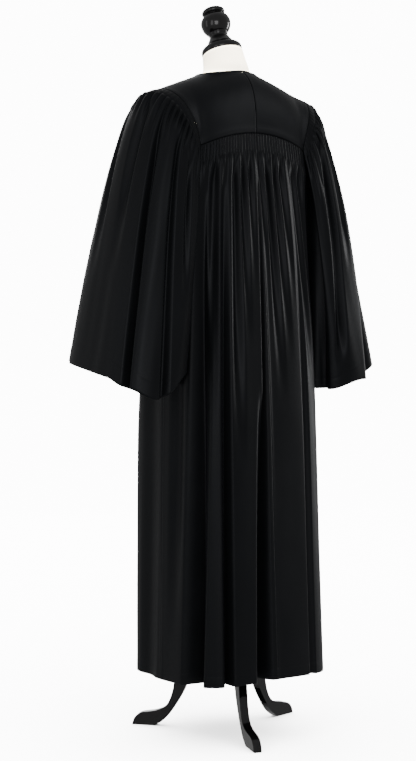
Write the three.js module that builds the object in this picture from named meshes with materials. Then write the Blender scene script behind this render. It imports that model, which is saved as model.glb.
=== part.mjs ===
// A judge robe worn by a limbless dress form on a three-legged stand.
// Millimetres, +Z up. The front of the robe faces -Y and the wearer's left is towards +X.
// The garment's own axis is the form's pole; the group is moved at the end so that the origin
// lies on the floor under the middle of the whole object.
import * as THREE from "three";
import { mergeVertices } from "three/addons/utils/BufferGeometryUtils.js";

// Driving dimensions
const CLOTH = 2; // wall of every cloth piece
const SEAM_GAP = 0.45; // between two pieces sewn together
const HEM_Z = 145; // the hem's height above the floor
const HEM_DIP = 9; // how much lower it hangs at the sides
const SEAM_Z = 1326; // yoke seam at the centre back
const SEAM_DROP = 32; // how far the curved yoke seam falls from its middle to its corner
const CORNER_X = 140; // yoke corner, where yoke, body and sleeve meet
const SHOULDER_X = 186; // armhole seam on top of the shoulder
const UNDERARM_Z = 1215;
const RIDGE = { top: 1475, slope: 0.36, round: 24 }; // the line over the shoulders
const ARCH = { rise: 0.66, run: 0.9, pack: 1.5, armhole: 0.85 }; // roundness of the yoke over a shoulder
const NECK = { side: 72, back: 55, veeAngle: 76, veeCurve: 1.6 }; // neckline
// Pressed pleats: the band's height, their depth, how many there are on half a back, on half a front
// and on a sleeve, and where the plain cloth begins under them
const FLUTE = { band: 42, depth: 1.8, back: 19, front: 14, sleeve: 36, fade: 74 };
const PLACKET = { width: 50, lift: 2.5, clear: 29 }; // band down the front, and the plain cloth under it
const BINDING = { radius: 1.6, lift: 2.3 }; // rolled edge round the neck
const BACK_REACH = 208; // how far the object reaches behind and before the pole
const FRONT_REACH = 171;

// The body's envelope: a squarish loop at each height, without its folds
const BODY = [
  { z: 1482, half: 162, back: 100, front: 100, square: 4.2 },
  { z: 1326, half: 166, back: 105, front: 105, square: 4.2 },
  { z: 1290, half: 168, back: 108, front: 112, square: 4.2 },
  { z: 1180, half: 170, back: 122, front: 128, square: 4 },
  { z: 1040, half: 171, back: 135, front: 150, square: 4 },
  { z: 738, half: 174, back: 156, front: 168, square: 4 },
  { z: 400, half: 178, back: 172, front: 166, square: 4 },
  { z: 148, half: 181, back: 185, front: 160, square: 4 },
];

// Soft troughs between the body's folds. at and to are degrees round from the centre back, at the
// top and at the hem, positive on the wearer's left. wide and wideHem are half widths.
const MAIN_TROUGHS = [
  { at: 51, to: 58, from: 1285, wide: 13, wideHem: 30, deep: 54 },
  { at: 39, to: 36.5, from: 1262, wide: 9, wideHem: 17, deep: 40 },
  { at: 3, to: 13, from: 1240, wide: 10, wideHem: 31, deep: 74 },
  { at: -35, to: -42, from: 1272, wide: 12, wideHem: 20, deep: 30 },
  { at: -56, to: -64, from: 1240, wide: 13, wideHem: 26, deep: 44 },
  { at: 101, to: 106, from: 1170, wide: 20, wideHem: 40, deep: 8 },
  { at: -90, to: -92, from: 1170, wide: 16, wideHem: 30, deep: 44 },
  { at: 134, to: 131, from: 1262, wide: 13, wideHem: 30, deep: 58 },
  { at: 152, to: 152, from: 1236, wide: 12, wideHem: 26, deep: 50 },
  { at: -116, to: -119, from: 1240, wide: 14, wideHem: 28, deep: 52 },
  { at: -136, to: -138, from: 1262, wide: 13, wideHem: 24, deep: 44 },
  { at: -153, to: -155, from: 1240, wide: 12, wideHem: 24, deep: 46 },
];

// Small troughs that fade out on their way down
const SMALL_TROUGHS = [
  { at: 72, to: 76, from: 1150, until: 250, wide: 14, wideHem: 30, deep: 10 },
  { at: 45.5, to: 47, from: 1284, until: 700, wide: 9, wideHem: 16, deep: 12 },
  { at: 28, to: 28, from: 1282, until: 640, wide: 10, wideHem: 20, deep: 15 },
  { at: 20, to: 19, from: 1284, until: 900, wide: 9, wideHem: 18, deep: 13 },
  { at: 11, to: 12, from: 1284, until: 1010, wide: 9, wideHem: 14, deep: 10 },
  { at: -3, to: -4, from: 1284, until: 1020, wide: 9, wideHem: 14, deep: 10 },
  { at: -12, to: -14, from: 1283, until: 780, wide: 10, wideHem: 20, deep: 14 },
  { at: -21, to: -23, from: 1284, until: 860, wide: 10, wideHem: 18, deep: 13 },
  { at: -28.5, to: -32, from: 1284, until: 960, wide: 9, wideHem: 16, deep: 11 },
  { at: -42, to: -46, from: 1284, until: 760, wide: 9, wideHem: 18, deep: 13 },
  { at: -48, to: -52, from: 1284, until: 900, wide: 8, wideHem: 14, deep: 10 },
  { at: 126, to: 122, from: 1282, until: 700, wide: 9, wideHem: 18, deep: 14 },
  { at: 143, to: 142, from: 1284, until: 820, wide: 9, wideHem: 18, deep: 13 },
  { at: -127, to: -128, from: 1282, until: 740, wide: 9, wideHem: 18, deep: 13 },
  { at: -145, to: -147, from: 1284, until: 860, wide: 9, wideHem: 16, deep: 12 },
];

// The sleeve hangs from the armhole to a squarish hem loop
const SLEEVE = { x: 265, y: -5, half: 88, deep: 150, square: 3.2, z: 800, front: 24, outer: 14 };
// Each sleeve's own reach, and the places where its hem is lifted or hangs lower
const LEFT_HEM = {
  reach: 4,
  lifts: [
    { round: 0.15, wide: 0.12, lift: 44 },
    { round: 0.285, wide: 0.1, lift: -20 },
    { round: 0.375, wide: 0.05, lift: -8 },
  ],
};
const RIGHT_HEM = {
  reach: -3,
  lifts: [
    { round: 0.12, wide: 0.1, lift: -8 },
    { round: 0.25, wide: 0.08, lift: 8 },
    { round: 0.42, wide: 0.13, lift: 34 },
  ],
};
const CORNER_SHARE = 0.16; // yoke corner's place round the sleeve, from the underarm by the back
// Handles of the curve from armhole to hem, at places round the sleeve
const SLEEVE_LINES = [
  { round: 0, leave: [9, 0, -60], arrive: [4, 0, 150] },
  { round: 0.16, leave: [16, 22, -90], arrive: [-14, 6, 160] },
  { round: 0.3, leave: [54, 26, -36], arrive: [-45, -14, 250] },
  { round: 0.5, leave: [84, 0, -4], arrive: [-64, 0, 320] },
  { round: 0.7, leave: [56, -28, -34], arrive: [-45, 14, 250] },
  { round: 0.84, leave: [16, -22, -90], arrive: [-14, -6, 160] },
  { round: 1, leave: [9, 0, -60], arrive: [4, 0, 150] },
];

// Troughs on a sleeve: round and roundHem say where, from and until how far down they run
const LEFT_SLEEVE_TROUGHS = [
  { round: 0.41, roundHem: 0.37, from: 0.12, until: 2, wide: 11, wideHem: 24, deep: 36 },
  { round: 0.33, roundHem: 0.25, from: 0.07, until: 2, wide: 10, wideHem: 24, deep: 24 },
  { round: 0.47, roundHem: 0.47, from: 0.06, until: 0.8, wide: 11, wideHem: 26, deep: 13 },
  { round: 0.25, roundHem: 0.2, from: 0.08, until: 0.8, wide: 9, wideHem: 20, deep: 12 },
  { round: 0.56, roundHem: 0.57, from: 0.07, until: 0.8, wide: 10, wideHem: 24, deep: 14 },
  { round: 0.63, roundHem: 0.65, from: 0.06, until: 2, wide: 11, wideHem: 26, deep: 38 },
  { round: 0.72, roundHem: 0.76, from: 0.08, until: 1.2, wide: 10, wideHem: 24, deep: 18 },
];
const RIGHT_SLEEVE_TROUGHS = [
  { round: 0.27, roundHem: 0.175, from: 0.07, until: 0.95, wide: 10, wideHem: 20, deep: 22 },
  { round: 0.35, roundHem: 0.25, from: 0.06, until: 0.7, wide: 11, wideHem: 22, deep: 16 },
  { round: 0.43, roundHem: 0.32, from: 0.06, until: 2, wide: 12, wideHem: 44, deep: 42 },
  { round: 0.5, roundHem: 0.49, from: 0.06, until: 0.7, wide: 10, wideHem: 24, deep: 13 },
  { round: 0.58, roundHem: 0.58, from: 0.07, until: 2, wide: 11, wideHem: 24, deep: 38 },
  { round: 0.66, roundHem: 0.68, from: 0.06, until: 0.9, wide: 10, wideHem: 24, deep: 16 },
  { round: 0.73, roundHem: 0.78, from: 0.08, until: 2, wide: 10, wideHem: 24, deep: 30 },
];

// The dress form: rings from the neck to the hips. lean moves a ring forwards, tilt is in degrees.
const TORSO = [
  { z: 1516, half: 45, deep: 45, lean: 17, tilt: 21 },
  { z: 1496, half: 47, deep: 47, lean: 11, tilt: 13 },
  { z: 1478, half: 50, deep: 49, lean: 5, tilt: 5 },
  { z: 1465, half: 53, deep: 50, lean: 3, tilt: 0 },
  { z: 1457, half: 62, deep: 54, lean: 1, tilt: 0 },
  { z: 1447, half: 90, deep: 59, lean: 0, tilt: 0 },
  { z: 1433, half: 130, deep: 65, lean: 0, tilt: 0 },
  { z: 1421, half: 162, deep: 70, lean: 0, tilt: 0 },
  { z: 1407, half: 169, deep: 75, lean: 0, tilt: 0 },
  { z: 1360, half: 165, deep: 86, lean: 0, tilt: 0 },
  { z: 1290, half: 150, deep: 93, lean: 0, tilt: 0 },
  { z: 1200, half: 140, deep: 94, lean: 0, tilt: 0 },
  { z: 1090, half: 124, deep: 84, lean: 0, tilt: 0 },
  { z: 980, half: 136, deep: 90, lean: 0, tilt: 0 },
  { z: 880, half: 146, deep: 94, lean: 0, tilt: 0 },
  { z: 800, half: 142, deep: 90, lean: 0, tilt: 0 },
];
const TORSO_SIDES = 26;

// Stand
const JOINT_GAP = 0.3;
const BASE_PLATE = { half: 138, deep: 86, thick: 14, chamfer: 4 };
const POLE = { radius: 17, bottom: 331.5, sides: 24 };
const HUB_PROFILE = [
  { r: 0, z: 331 },
  { r: 21, z: 331 },
  { r: 25, z: 322 },
  { r: 22, z: 312 },
  { r: 30.6, z: 302 },
  { r: 30.6, z: 222 },
  { r: 24, z: 212 },
  { r: 15, z: 200 },
  { r: 0, z: 194 },
];
const LEGS = [
  { name: "leg_1", degrees: -49.4 },
  { name: "leg_2", degrees: 70.6 },
  { name: "leg_3", degrees: 190.6 },
];
const LEG_THICK = 19;
const LEG_TOP_EDGE = [
  { r: 31, z: 298 },
  { r: 62, z: 270 },
  { r: 96, z: 196 },
  { r: 115, z: 128 },
  { r: 124, z: 82 },
  { r: 136, z: 52 },
  { r: 157, z: 37 },
  { r: 196, z: 29 },
  { r: 212, z: 18 },
  { r: 219, z: 0 },
];
const LEG_LOWER_EDGE = [
  { r: 167, z: 0 },
  { r: 142, z: 17 },
  { r: 118, z: 49 },
  { r: 96, z: 88 },
  { r: 80, z: 130 },
  { r: 60, z: 184 },
  { r: 42, z: 220 },
  { r: 31, z: 232 },
];
// Turned cap and ball on the neck, measured along their tilted axis
const FINIAL = { lean: 17, z: 1516, tilt: 21, sides: 22 };
const CAP_PROFILE = [
  { r: 0, h: 0.3 },
  { r: 43, h: 0.3 },
  { r: 44, h: 4 },
  { r: 41, h: 10 },
  { r: 34, h: 17 },
  { r: 25, h: 22.5 },
  { r: 0, h: 22.5 },
];
const BALL_PROFILE = [
  { r: 0, h: 22.8 },
  { r: 22, h: 22.8 },
  { r: 23.5, h: 26 },
  { r: 20, h: 31 },
  { r: 25, h: 37 },
  { r: 31, h: 46 },
  { r: 32.5, h: 56 },
  { r: 31.5, h: 65 },
  { r: 27, h: 75 },
  { r: 18, h: 83.5 },
  { r: 22.5, h: 88 },
  { r: 22.5, h: 92 },
  { r: 18, h: 99 },
  { r: 10, h: 104 },
  { r: 0, h: 106 },
];

// Small helpers
const DEG = Math.PI / 180;
const lerp = THREE.MathUtils.lerp;
const clamp = THREE.MathUtils.clamp;
const vec = (x, y, z) => new THREE.Vector3(x, y, z);
const steps = (count) => Array.from({ length: count + 1 }, (_, i) => i / count);
const bell = (t) => (Math.abs(t) < 1 ? 0.5 + 0.5 * Math.cos(Math.PI * t) : 0);
const smooth = (t) => {
  const c = clamp(t, 0, 1);
  return c * c * (3 - 2 * c);
};

// Smooth value of one column of a table whose z falls from row to row
function tableValue(table, name, z) {
  let i = table.findIndex((row) => row.z <= z);
  i = i < 0 ? table.length - 1 : Math.max(1, i);
  const a = table[i - 1];
  const b = table[i];
  const before = table[Math.max(0, i - 2)];
  const after = table[Math.min(table.length - 1, i + 1)];
  const t = clamp((a.z - z) / (a.z - b.z), 0, 1);
  const run = a.z - b.z;
  const slopeA = before === a ? b[name] - a[name] : ((b[name] - before[name]) * run) / (before.z - b.z);
  const slopeB = after === b ? b[name] - a[name] : ((after[name] - a[name]) * run) / (a.z - after.z);
  const rise = t * t * (3 - 2 * t);
  return lerp(a[name], b[name], rise) + (t - 1) ** 2 * t * slopeA + t * t * (t - 1) * slopeB;
}

// The body's envelope at an angle round from the centre back
function envelope(angle, z) {
  const s = Math.sin(angle * DEG);
  const c = Math.cos(angle * DEG);
  const square = tableValue(BODY, "square", z);
  const depth = tableValue(BODY, c > 0 ? "back" : "front", z);
  const across = Math.abs(s) / tableValue(BODY, "half", z);
  const radius = (across ** square + (Math.abs(c) / depth) ** square) ** (-1 / square);
  return vec(radius * s, radius * c, z);
}

// Radii at which the troughs' widths are measured, and the heights over which a small one comes and goes
const HEM_RADIUS = 190;
const TOP_RADIUS = 130;
const COMES = 110;
const GOES = 300;

// Depth of the body's troughs
function bodyTrough(angle, z) {
  let depth = 0;
  for (const t of [...MAIN_TROUGHS, ...SMALL_TROUGHS]) {
    const down = clamp((t.from - z) / (t.from - HEM_Z), 0, 1);
    const turn = THREE.MathUtils.euclideanModulo(angle - lerp(t.at, t.to, down) + 180, 360) - 180;
    const radius = lerp(TOP_RADIUS, HEM_RADIUS, down);
    const off = (turn * DEG * radius) / lerp(t.wide, t.wideHem, Math.sqrt(down));
    const fading = t.until ? smooth((t.from - z) / COMES) * smooth((z - t.until) / GOES) : down ** 0.7;
    depth += t.deep * fading * bell(off);
  }
  return depth;
}

function bodyPoint(angle, z) {
  const p = envelope(angle, z);
  const step = 0.3;
  const along = envelope(angle + step, z).sub(envelope(angle - step, z)).normalize();
  return p.add(vec(along.y, -along.x, 0).multiplyScalar(bodyTrough(angle, z)));
}

// Seams
const seamZ = (x) => SEAM_Z - SEAM_DROP * (x / CORNER_X) ** 2;
const CORNER_ANGLE = steps(900)
  .map((t) => 90 * t)
  .find((angle) => envelope(angle, seamZ(CORNER_X)).x >= CORNER_X);

const bodyHem = (angle) => HEM_Z - HEM_DIP * Math.sin(angle * DEG) ** 2;

// Height of the body's upper edge: the yoke seam, then the armhole down to the underarm
function bodyTop(angle) {
  const turn = Math.abs(angle) > 90 ? 180 - Math.abs(angle) : Math.abs(angle);
  const across = (z) => Math.abs(envelope(angle, z).x);
  if (turn <= CORNER_ANGLE) {
    const x = across(seamZ(across(SEAM_Z)));
    return seamZ(Math.min(CORNER_X, x)) - SEAM_GAP;
  }
  const share = (turn - CORNER_ANGLE) / (90 - CORNER_ANGLE);
  return lerp(seamZ(CORNER_X), UNDERARM_Z, 1 - (1 - share) ** 2) - SEAM_GAP;
}

// The yoke's chart: x across, tau from 1 on the back seam over 0 on the shoulder to -1 in front
const alphaOf = (tau) => 90 * DEG * (1 - (1 - Math.abs(tau)) ** ARCH.pack);
const tauOf = (degrees) => 1 - (1 - degrees / 90) ** (1 / ARCH.pack);

function chartPoint(x, tau) {
  const alpha = alphaOf(tau);
  const foot = seamZ(x);
  const top = RIDGE.top - RIDGE.slope * (Math.hypot(x, RIDGE.round) - RIDGE.round);
  const square = tableValue(BODY, "square", foot);
  const across = Math.min(Math.abs(x), CORNER_X) / tableValue(BODY, "half", foot);
  const depth = tableValue(BODY, tau > 0 ? "back" : "front", foot) * (1 - across ** square) ** (1 / square);
  const rise = Math.max(0, Math.cos(alpha)) ** ARCH.rise;
  return vec(x, Math.sign(tau) * depth * Math.sin(alpha) ** ARCH.run, foot + (top - foot) * rise);
}

const armholeX = (tau) => lerp(CORNER_X, SHOULDER_X, Math.max(0, Math.cos(alphaOf(tau))) ** ARCH.armhole);

// Neckline in the chart: share 0 at the centre back, 0.5 at the side, 1 at the point of the V
function neckline(share) {
  if (share <= 0.5) {
    const turn = share * 180 * DEG;
    const x = NECK.side * Math.sin(turn);
    const depth = Math.abs(chartPoint(x, 1).y);
    const y = (NECK.back * Math.cos(turn)) / depth;
    return { x, tau: tauOf(Math.asin(Math.min(1, Math.max(0, y)) ** (1 / ARCH.run)) / DEG) };
  }
  const f = share * 2 - 1;
  return { x: NECK.side * (1 - f ** NECK.veeCurve), tau: -tauOf(NECK.veeAngle * f) };
}

// The yoke's outer border in the chart: back seam, armhole, front seam
const TURN_BACK = 0.3;
const TURN_FRONT = 0.72;
function border(share) {
  if (share <= TURN_BACK) return { x: (CORNER_X * share) / TURN_BACK, tau: 1 };
  if (share >= TURN_FRONT) return { x: (CORNER_X * (1 - share)) / (1 - TURN_FRONT), tau: -1 };
  const tau = 1 - (2 * (share - TURN_BACK)) / (TURN_FRONT - TURN_BACK);
  return { x: armholeX(tau), tau };
}

function yokePoint(share, out) {
  const a = neckline(share);
  const b = border(share);
  return chartPoint(lerp(a.x, b.x, out), lerp(a.tau, b.tau, out));
}

// Outward normal of a surface given by two numbers
function normalOf(surface, a, b, stepA, stepB) {
  const across = surface(a + stepA, b).sub(surface(a - stepA, b));
  const down = surface(a, b + stepB).sub(surface(a, b - stepB));
  return across.cross(down).normalize();
}

const level = (normal) => vec(normal.x, normal.y, 0).normalize();

// The two faces of the cloth at one point
function faces(p, normal, lift, at) {
  const outer = p.clone().addScaledVector(normal, lift);
  return { at, outer, inner: outer.clone().addScaledVector(normal, -CLOTH) };
}

// A closed wall from rows of points; neighbouring rows may have different numbers of points
function wall(rows, closed) {
  const vertices = [];
  const index = [];
  const add = (p) => vertices.push(p.x, p.y, p.z) / 3 - 1;
  const grid = rows.map((row) => row.map((s) => ({ at: s.at, out: add(s.outer), in: add(s.inner) })));
  for (let r = 0; r + 1 < grid.length; r++) zip(grid[r], grid[r + 1], closed, index);
  rim(closed ? [...grid[0], grid[0][0]] : grid[0], index, false);
  const last = grid[grid.length - 1];
  rim(closed ? [...last, last[0]] : last, index, true);
  if (!closed) {
    rim(grid.map((row) => row[0]), index, true);
    rim(grid.map((row) => row[row.length - 1]), index, false);
  }
  const geometry = new THREE.BufferGeometry();
  geometry.setAttribute("position", new THREE.BufferAttribute(new Float32Array(vertices), 3));
  geometry.setIndex(index);
  return geometry;
}

// Triangles between two rows, walked by each point's share of its row
function zip(upper, lower, closed, index) {
  const a = closed ? [...upper, { ...upper[0], at: upper[0].at + 1 }] : upper;
  const b = closed ? [...lower, { ...lower[0], at: lower[0].at + 1 }] : lower;
  let i = 0;
  let j = 0;
  while (i < a.length - 1 || j < b.length - 1) {
    const nearer = i < a.length - 1 && a[i + 1].at + a[i].at <= (b[j + 1]?.at ?? Infinity) + b[j].at;
    const alongUpper = j === b.length - 1 || nearer;
    const [p, q, s] = alongUpper ? [a[i], a[i + 1], b[j]] : [a[i], b[j + 1], b[j]];
    index.push(p.out, q.out, s.out, p.in, s.in, q.in);
    if (alongUpper) i++;
    else j++;
  }
}

// The strip that closes the wall along one edge
function rim(row, index, last) {
  for (let i = 0; i + 1 < row.length; i++) {
    const a = row[i];
    const b = row[i + 1];
    if (last) index.push(a.out, b.in, a.in, a.out, b.out, b.in);
    else index.push(a.out, a.in, b.in, a.out, b.in, b.out);
  }
}

const group = new THREE.Group();
const BLACK_CLOTH = { color: 0x0b0c0e, roughness: 0.55, metalness: 0 };
const BLACK_WOOD = { color: 0x08090a, roughness: 0.22, metalness: 0 };
const IVORY_CLOTH = { color: 0xf0e6d8, roughness: 0.8, metalness: 0 };

function addPiece(name, geometry, look) {
  const plain = new THREE.BufferGeometry();
  plain.setAttribute("position", geometry.getAttribute("position"));
  if (geometry.index) plain.setIndex(geometry.index);
  const mesh = new THREE.Mesh(mergeVertices(plain, 1e-4), new THREE.MeshStandardMaterial(look));
  mesh.name = name;
  group.add(mesh);
}

// The same wall on the other side of the body
function mirrored(rows) {
  const flip = (p) => vec(-p.x, p.y, p.z);
  const flipFaces = (s) => ({ at: 1 - s.at, outer: flip(s.outer), inner: flip(s.inner) });
  return rows.map((row) => row.map(flipFaces).reverse());
}

// Yoke halves
const YOKE_COLUMNS = 26;
const YOKE_ROWS = 5;
const YOKE_INSET = 0.0012;
const yokeRows = steps(YOKE_ROWS).map((out) =>
  steps(YOKE_COLUMNS).map((share) => {
    const s = clamp(share, YOKE_INSET, 1 - YOKE_INSET);
    const normal = normalOf(yokePoint, clamp(s, 0.003, 0.997), clamp(out, 0.01, 0.985), 0.001, 0.01);
    const onSeam = out === 1 && (s <= TURN_BACK || s >= TURN_FRONT);
    return faces(yokePoint(s, out), onSeam ? level(normal) : normal, 0, share);
  }),
);
addPiece("yoke_left", wall(yokeRows, false), BLACK_CLOTH);
addPiece("yoke_right", wall(mirrored(yokeRows), false), BLACK_CLOTH);

// Body panels. Their columns follow the main troughs and the ridges between them.
const PANEL_EDGE = 0.06; // degrees kept free beside a seam down the body
const BELOW = [0, 0.035, 0.09, 0.17, 0.27, 0.4, 0.56, 0.77, 1];
const COLUMN_PITCH = 17; // along the hem
const PLAIN_COLUMNS = 5; // beside the pressed pleats
const FLUTE_ROWS = [
  { down: 0, size: 0.8 },
  { down: 0.5, size: 1 },
  { down: 1, size: 0.6 },
];

// Places of edges, valleys and ridges across a panel at one height
function knots(low, high, z) {
  const middle = (t) => lerp(t.at, t.to, clamp((t.from - z) / (t.from - HEM_Z), 0, 1));
  const valleys = MAIN_TROUGHS.filter((t) => t.at > low && t.at < high)
    .map(middle)
    .sort((a, b) => a - b);
  const ridges = valleys.slice(1).map((valley, i) => (valley + valleys[i]) / 2);
  return [low, ...valleys, ...ridges, high].sort((a, b) => a - b);
}

// Angles that lie evenly along the cloth
function evenAngles(from, to, z, count) {
  const fine = steps(40).map((t) => lerp(from, to, t));
  const points = fine.map((angle) => bodyPoint(angle, z));
  const sums = [0];
  for (let i = 1; i < points.length; i++) sums.push(sums[i - 1] + points[i].distanceTo(points[i - 1]));
  return steps(count).map((share) => {
    const want = share * sums[40];
    const found = sums.findIndex((sum) => sum >= want - 1e-9);
    const i = clamp(found < 0 ? 40 : found, 1, 40);
    return lerp(fine[i - 1], fine[i], clamp((want - sums[i - 1]) / (sums[i] - sums[i - 1]), 0, 1));
  });
}

function bodyFaces(angle, z, lift, at) {
  const normal = normalOf(bodyPoint, angle, z, 0.2, -2);
  const onSeam = z > bodyTop(angle) - 1;
  return faces(bodyPoint(angle, z), onSeam ? level(normal) : normal, lift, at);
}

// A row across the pressed pleats, with plain cloth beside them
function flutedRow(low, high, flute, row) {
  const angles = [{ angle: low, lift: 0 }];
  const addEven = (from, to, z, count, lift) => {
    const even = evenAngles(from, to, z, count);
    for (let i = 1; i <= count; i++) angles.push({ angle: even[i], lift: i < count ? lift(i) : 0 });
  };
  const plain = () => 0;
  const fold = (i) => (i % 2 ? 1 : -1) * FLUTE.depth * row.size;
  if (flute.from > low) addEven(low, flute.from, UNDERARM_Z + 40, flute.before, plain);
  addEven(flute.from, flute.to, SEAM_Z - 40, flute.count * 2, fold);
  if (flute.to < high) addEven(flute.to, high, UNDERARM_Z + 40, flute.after, plain);
  return angles.map(({ angle, lift }) => {
    const at = (angle - low) / (high - low);
    return bodyFaces(angle, bodyTop(angle) - FLUTE.band * row.down, lift, at);
  });
}

function panel(low, high, flute) {
  const hemKnots = knots(low, high, HEM_Z);
  const counts = hemKnots.slice(1).map((knot, i) => {
    const span = evenSpan(hemKnots[i], knot);
    return Math.max(2, Math.round(span / COLUMN_PITCH));
  });
  const plainRow = (share) => {
    const middle = lerp(SEAM_Z - FLUTE.fade - 20, HEM_Z, share);
    const list = knots(low, high, middle);
    const angles = [low];
    counts.forEach((count, i) => angles.push(...evenAngles(list[i], list[i + 1], middle, count).slice(1)));
    return angles.map((angle) => {
      const z = lerp(bodyTop(angle) - FLUTE.fade, bodyHem(angle), share);
      return bodyFaces(angle, z, 0, (angle - low) / (high - low));
    });
  };
  return [...FLUTE_ROWS.map((row) => flutedRow(low, high, flute, row)), ...BELOW.map(plainRow)];
}

// Length of the hem between two angles
function evenSpan(from, to) {
  const points = steps(20).map((t) => bodyPoint(lerp(from, to, t), HEM_Z));
  return points.slice(1).reduce((sum, p, i) => sum + p.distanceTo(points[i]), 0);
}

const FRONT_FLAT = Math.atan2(PLACKET.clear, tableValue(BODY, "front", SEAM_Z)) / DEG;
const PANELS = [
  { name: "back_left", low: PANEL_EDGE, high: 90 - PANEL_EDGE },
  { name: "back_right", low: PANEL_EDGE - 90, high: -PANEL_EDGE },
  { name: "front_left", low: 90 + PANEL_EDGE, high: 180 - PANEL_EDGE },
  { name: "front_right", low: PANEL_EDGE - 180, high: -90 - PANEL_EDGE },
];
for (const { name, low, high } of PANELS) {
  const back = name.startsWith("back");
  const left = name.endsWith("left");
  const near = back ? 0 : FRONT_FLAT;
  const middle = back ? (left ? low : high) : left ? 180 - near : near - 180;
  const corner = (back ? CORNER_ANGLE : 180 - CORNER_ANGLE) * (left ? 1 : -1);
  const flute = {
    from: Math.min(middle, corner),
    to: Math.max(middle, corner),
    count: back ? FLUTE.back : FLUTE.front,
    before: back === left ? 2 : PLAIN_COLUMNS,
    after: back === left ? PLAIN_COLUMNS : 2,
  };
  addPiece(name, wall(panel(low, high, flute), false), BLACK_CLOTH);
}

// Sleeves, modelled on the wearer's left. Places run from the underarm by the back to the top.
function armholePoint(round) {
  const front = round > 0.5;
  const place = front ? 1 - round : round;
  const sign = front ? -1 : 1;
  if (place >= CORNER_SHARE) {
    const tau = sign * (1 - (place - CORNER_SHARE) / (0.5 - CORNER_SHARE));
    return chartPoint(armholeX(tau), tau);
  }
  const angle = armholeAngle(round);
  return envelope(angle, bodyTop(angle) + SEAM_GAP);
}

// The body's angle at a place round the lower part of the armhole
function armholeAngle(round) {
  const place = Math.min(CORNER_SHARE, round > 0.5 ? 1 - round : round);
  const turn = lerp(90, CORNER_ANGLE, place / CORNER_SHARE);
  return round > 0.5 ? 180 - turn : turn;
}

// How the sleeve's first edge stands off from the armhole, below and above the yoke's corner
const SLEEVE_OFF = { lower: 1.1, upper: 0.75 };
function sleeveStart(round) {
  const p = armholePoint(round);
  const place = round > 0.5 ? 1 - round : round;
  const sign = round > 0.5 ? -1 : 1;
  const upper = smooth((place - CORNER_SHARE * 0.86) / 0.05);
  const angle = armholeAngle(round);
  const along = envelope(angle + 0.3, p.z).sub(envelope(angle - 0.3, p.z)).normalize();
  const outward = vec(-along.y, along.x, 0);
  const away = vec(0.86, 0.3 * sign * Math.cos(place * Math.PI), -0.35).normalize();
  p.addScaledVector(outward, (1 - upper) * SLEEVE_OFF.lower);
  return p.addScaledVector(away, upper * SLEEVE_OFF.upper);
}

// The sleeve's hem: a squarish loop, with places even along it
const HEM_LOOP = steps(360).map((t) => {
  const c = Math.cos(t * 2 * Math.PI);
  const s = Math.sin(t * 2 * Math.PI);
  const power = SLEEVE.square;
  const r = ((Math.abs(c) / SLEEVE.half) ** power + (Math.abs(s) / SLEEVE.deep) ** power) ** (-1 / power);
  return { x: SLEEVE.x - r * c, y: SLEEVE.y + r * s, sum: 0 };
});
HEM_LOOP.forEach((p, i) => {
  if (i) p.sum = HEM_LOOP[i - 1].sum + Math.hypot(p.x - HEM_LOOP[i - 1].x, p.y - HEM_LOOP[i - 1].y);
});

function sleeveHem(round, hem) {
  const whole = HEM_LOOP[HEM_LOOP.length - 1].sum;
  const want = THREE.MathUtils.euclideanModulo(round, 1) * whole;
  const i = Math.max(1, HEM_LOOP.findIndex((p) => p.sum >= want));
  const [a, b] = [HEM_LOOP[i - 1], HEM_LOOP[i]];
  const t = (want - a.sum) / (b.sum - a.sum);
  const x = lerp(a.x, b.x, t);
  const y = lerp(a.y, b.y, t);
  const forwards = (SLEEVE.front * (SLEEVE.y - y)) / SLEEVE.deep;
  const outwards = (SLEEVE.outer * (x - SLEEVE.x)) / SLEEVE.half;
  const lift = hem.lifts.reduce((sum, at) => sum + at.lift * bell((round - at.round) / at.wide), 0);
  const reach = (hem.reach * (x - SLEEVE.x + SLEEVE.half)) / (2 * SLEEVE.half);
  return vec(x + reach, y, SLEEVE.z + forwards + outwards + lift);
}

function handles(round) {
  const i = Math.max(1, SLEEVE_LINES.findIndex((line) => line.round >= round));
  const [a, b] = [SLEEVE_LINES[i - 1], SLEEVE_LINES[i]];
  const t = smooth((round - a.round) / (b.round - a.round));
  const mix = (name) => vec(...a[name]).lerp(vec(...b[name]), t);
  return { leave: mix("leave"), arrive: mix("arrive") };
}

function sleeveBase(round, down, hem) {
  const r = THREE.MathUtils.euclideanModulo(round, 1);
  const { leave, arrive } = handles(r);
  const from = sleeveStart(r);
  const to = sleeveHem(r, hem);
  const curve = new THREE.CubicBezierCurve3(from, from.clone().add(leave), to.clone().add(arrive), to);
  return curve.getPoint(down);
}

// Distance round a sleeve at the armhole and at the hem, for the troughs' widths
const SLEEVE_GIRTH = { top: 560, hem: 900 };

function sleevePoint(round, down, troughs, hem) {
  const base = (a, b) => sleeveBase(a, b, hem);
  const p = base(round, down);
  let depth = 0;
  for (const t of troughs) {
    const middle = lerp(t.round, t.roundHem, down);
    const girth = lerp(SLEEVE_GIRTH.top, SLEEVE_GIRTH.hem, down);
    const off = ((round - middle) * girth) / lerp(t.wide, t.wideHem, down);
    const ending = t.until > 1.5 ? down ** 0.5 : smooth((t.until - down) / 0.4);
    depth += t.deep * smooth((down - t.from) / 0.3) * ending * bell(off);
  }
  if (depth === 0) return p;
  return p.addScaledVector(normalOf(base, round, clamp(down, 0.01, 0.99), 0.004, 0.008), -depth);
}

const SLEEVE_FLUTES = { from: CORNER_SHARE + 0.02, rows: [0, 0.045, 0.1], sizes: [0.7, 1, 0.6] };
const SLEEVE_DOWN = [0.16, 0.24, 0.33, 0.43, 0.54, 0.66, 0.8, 0.9, 1];
const SLEEVE_COLUMNS = 44;
const SLEEVE_LOWER = 8; // plain columns of the first rows, under the arm

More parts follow.
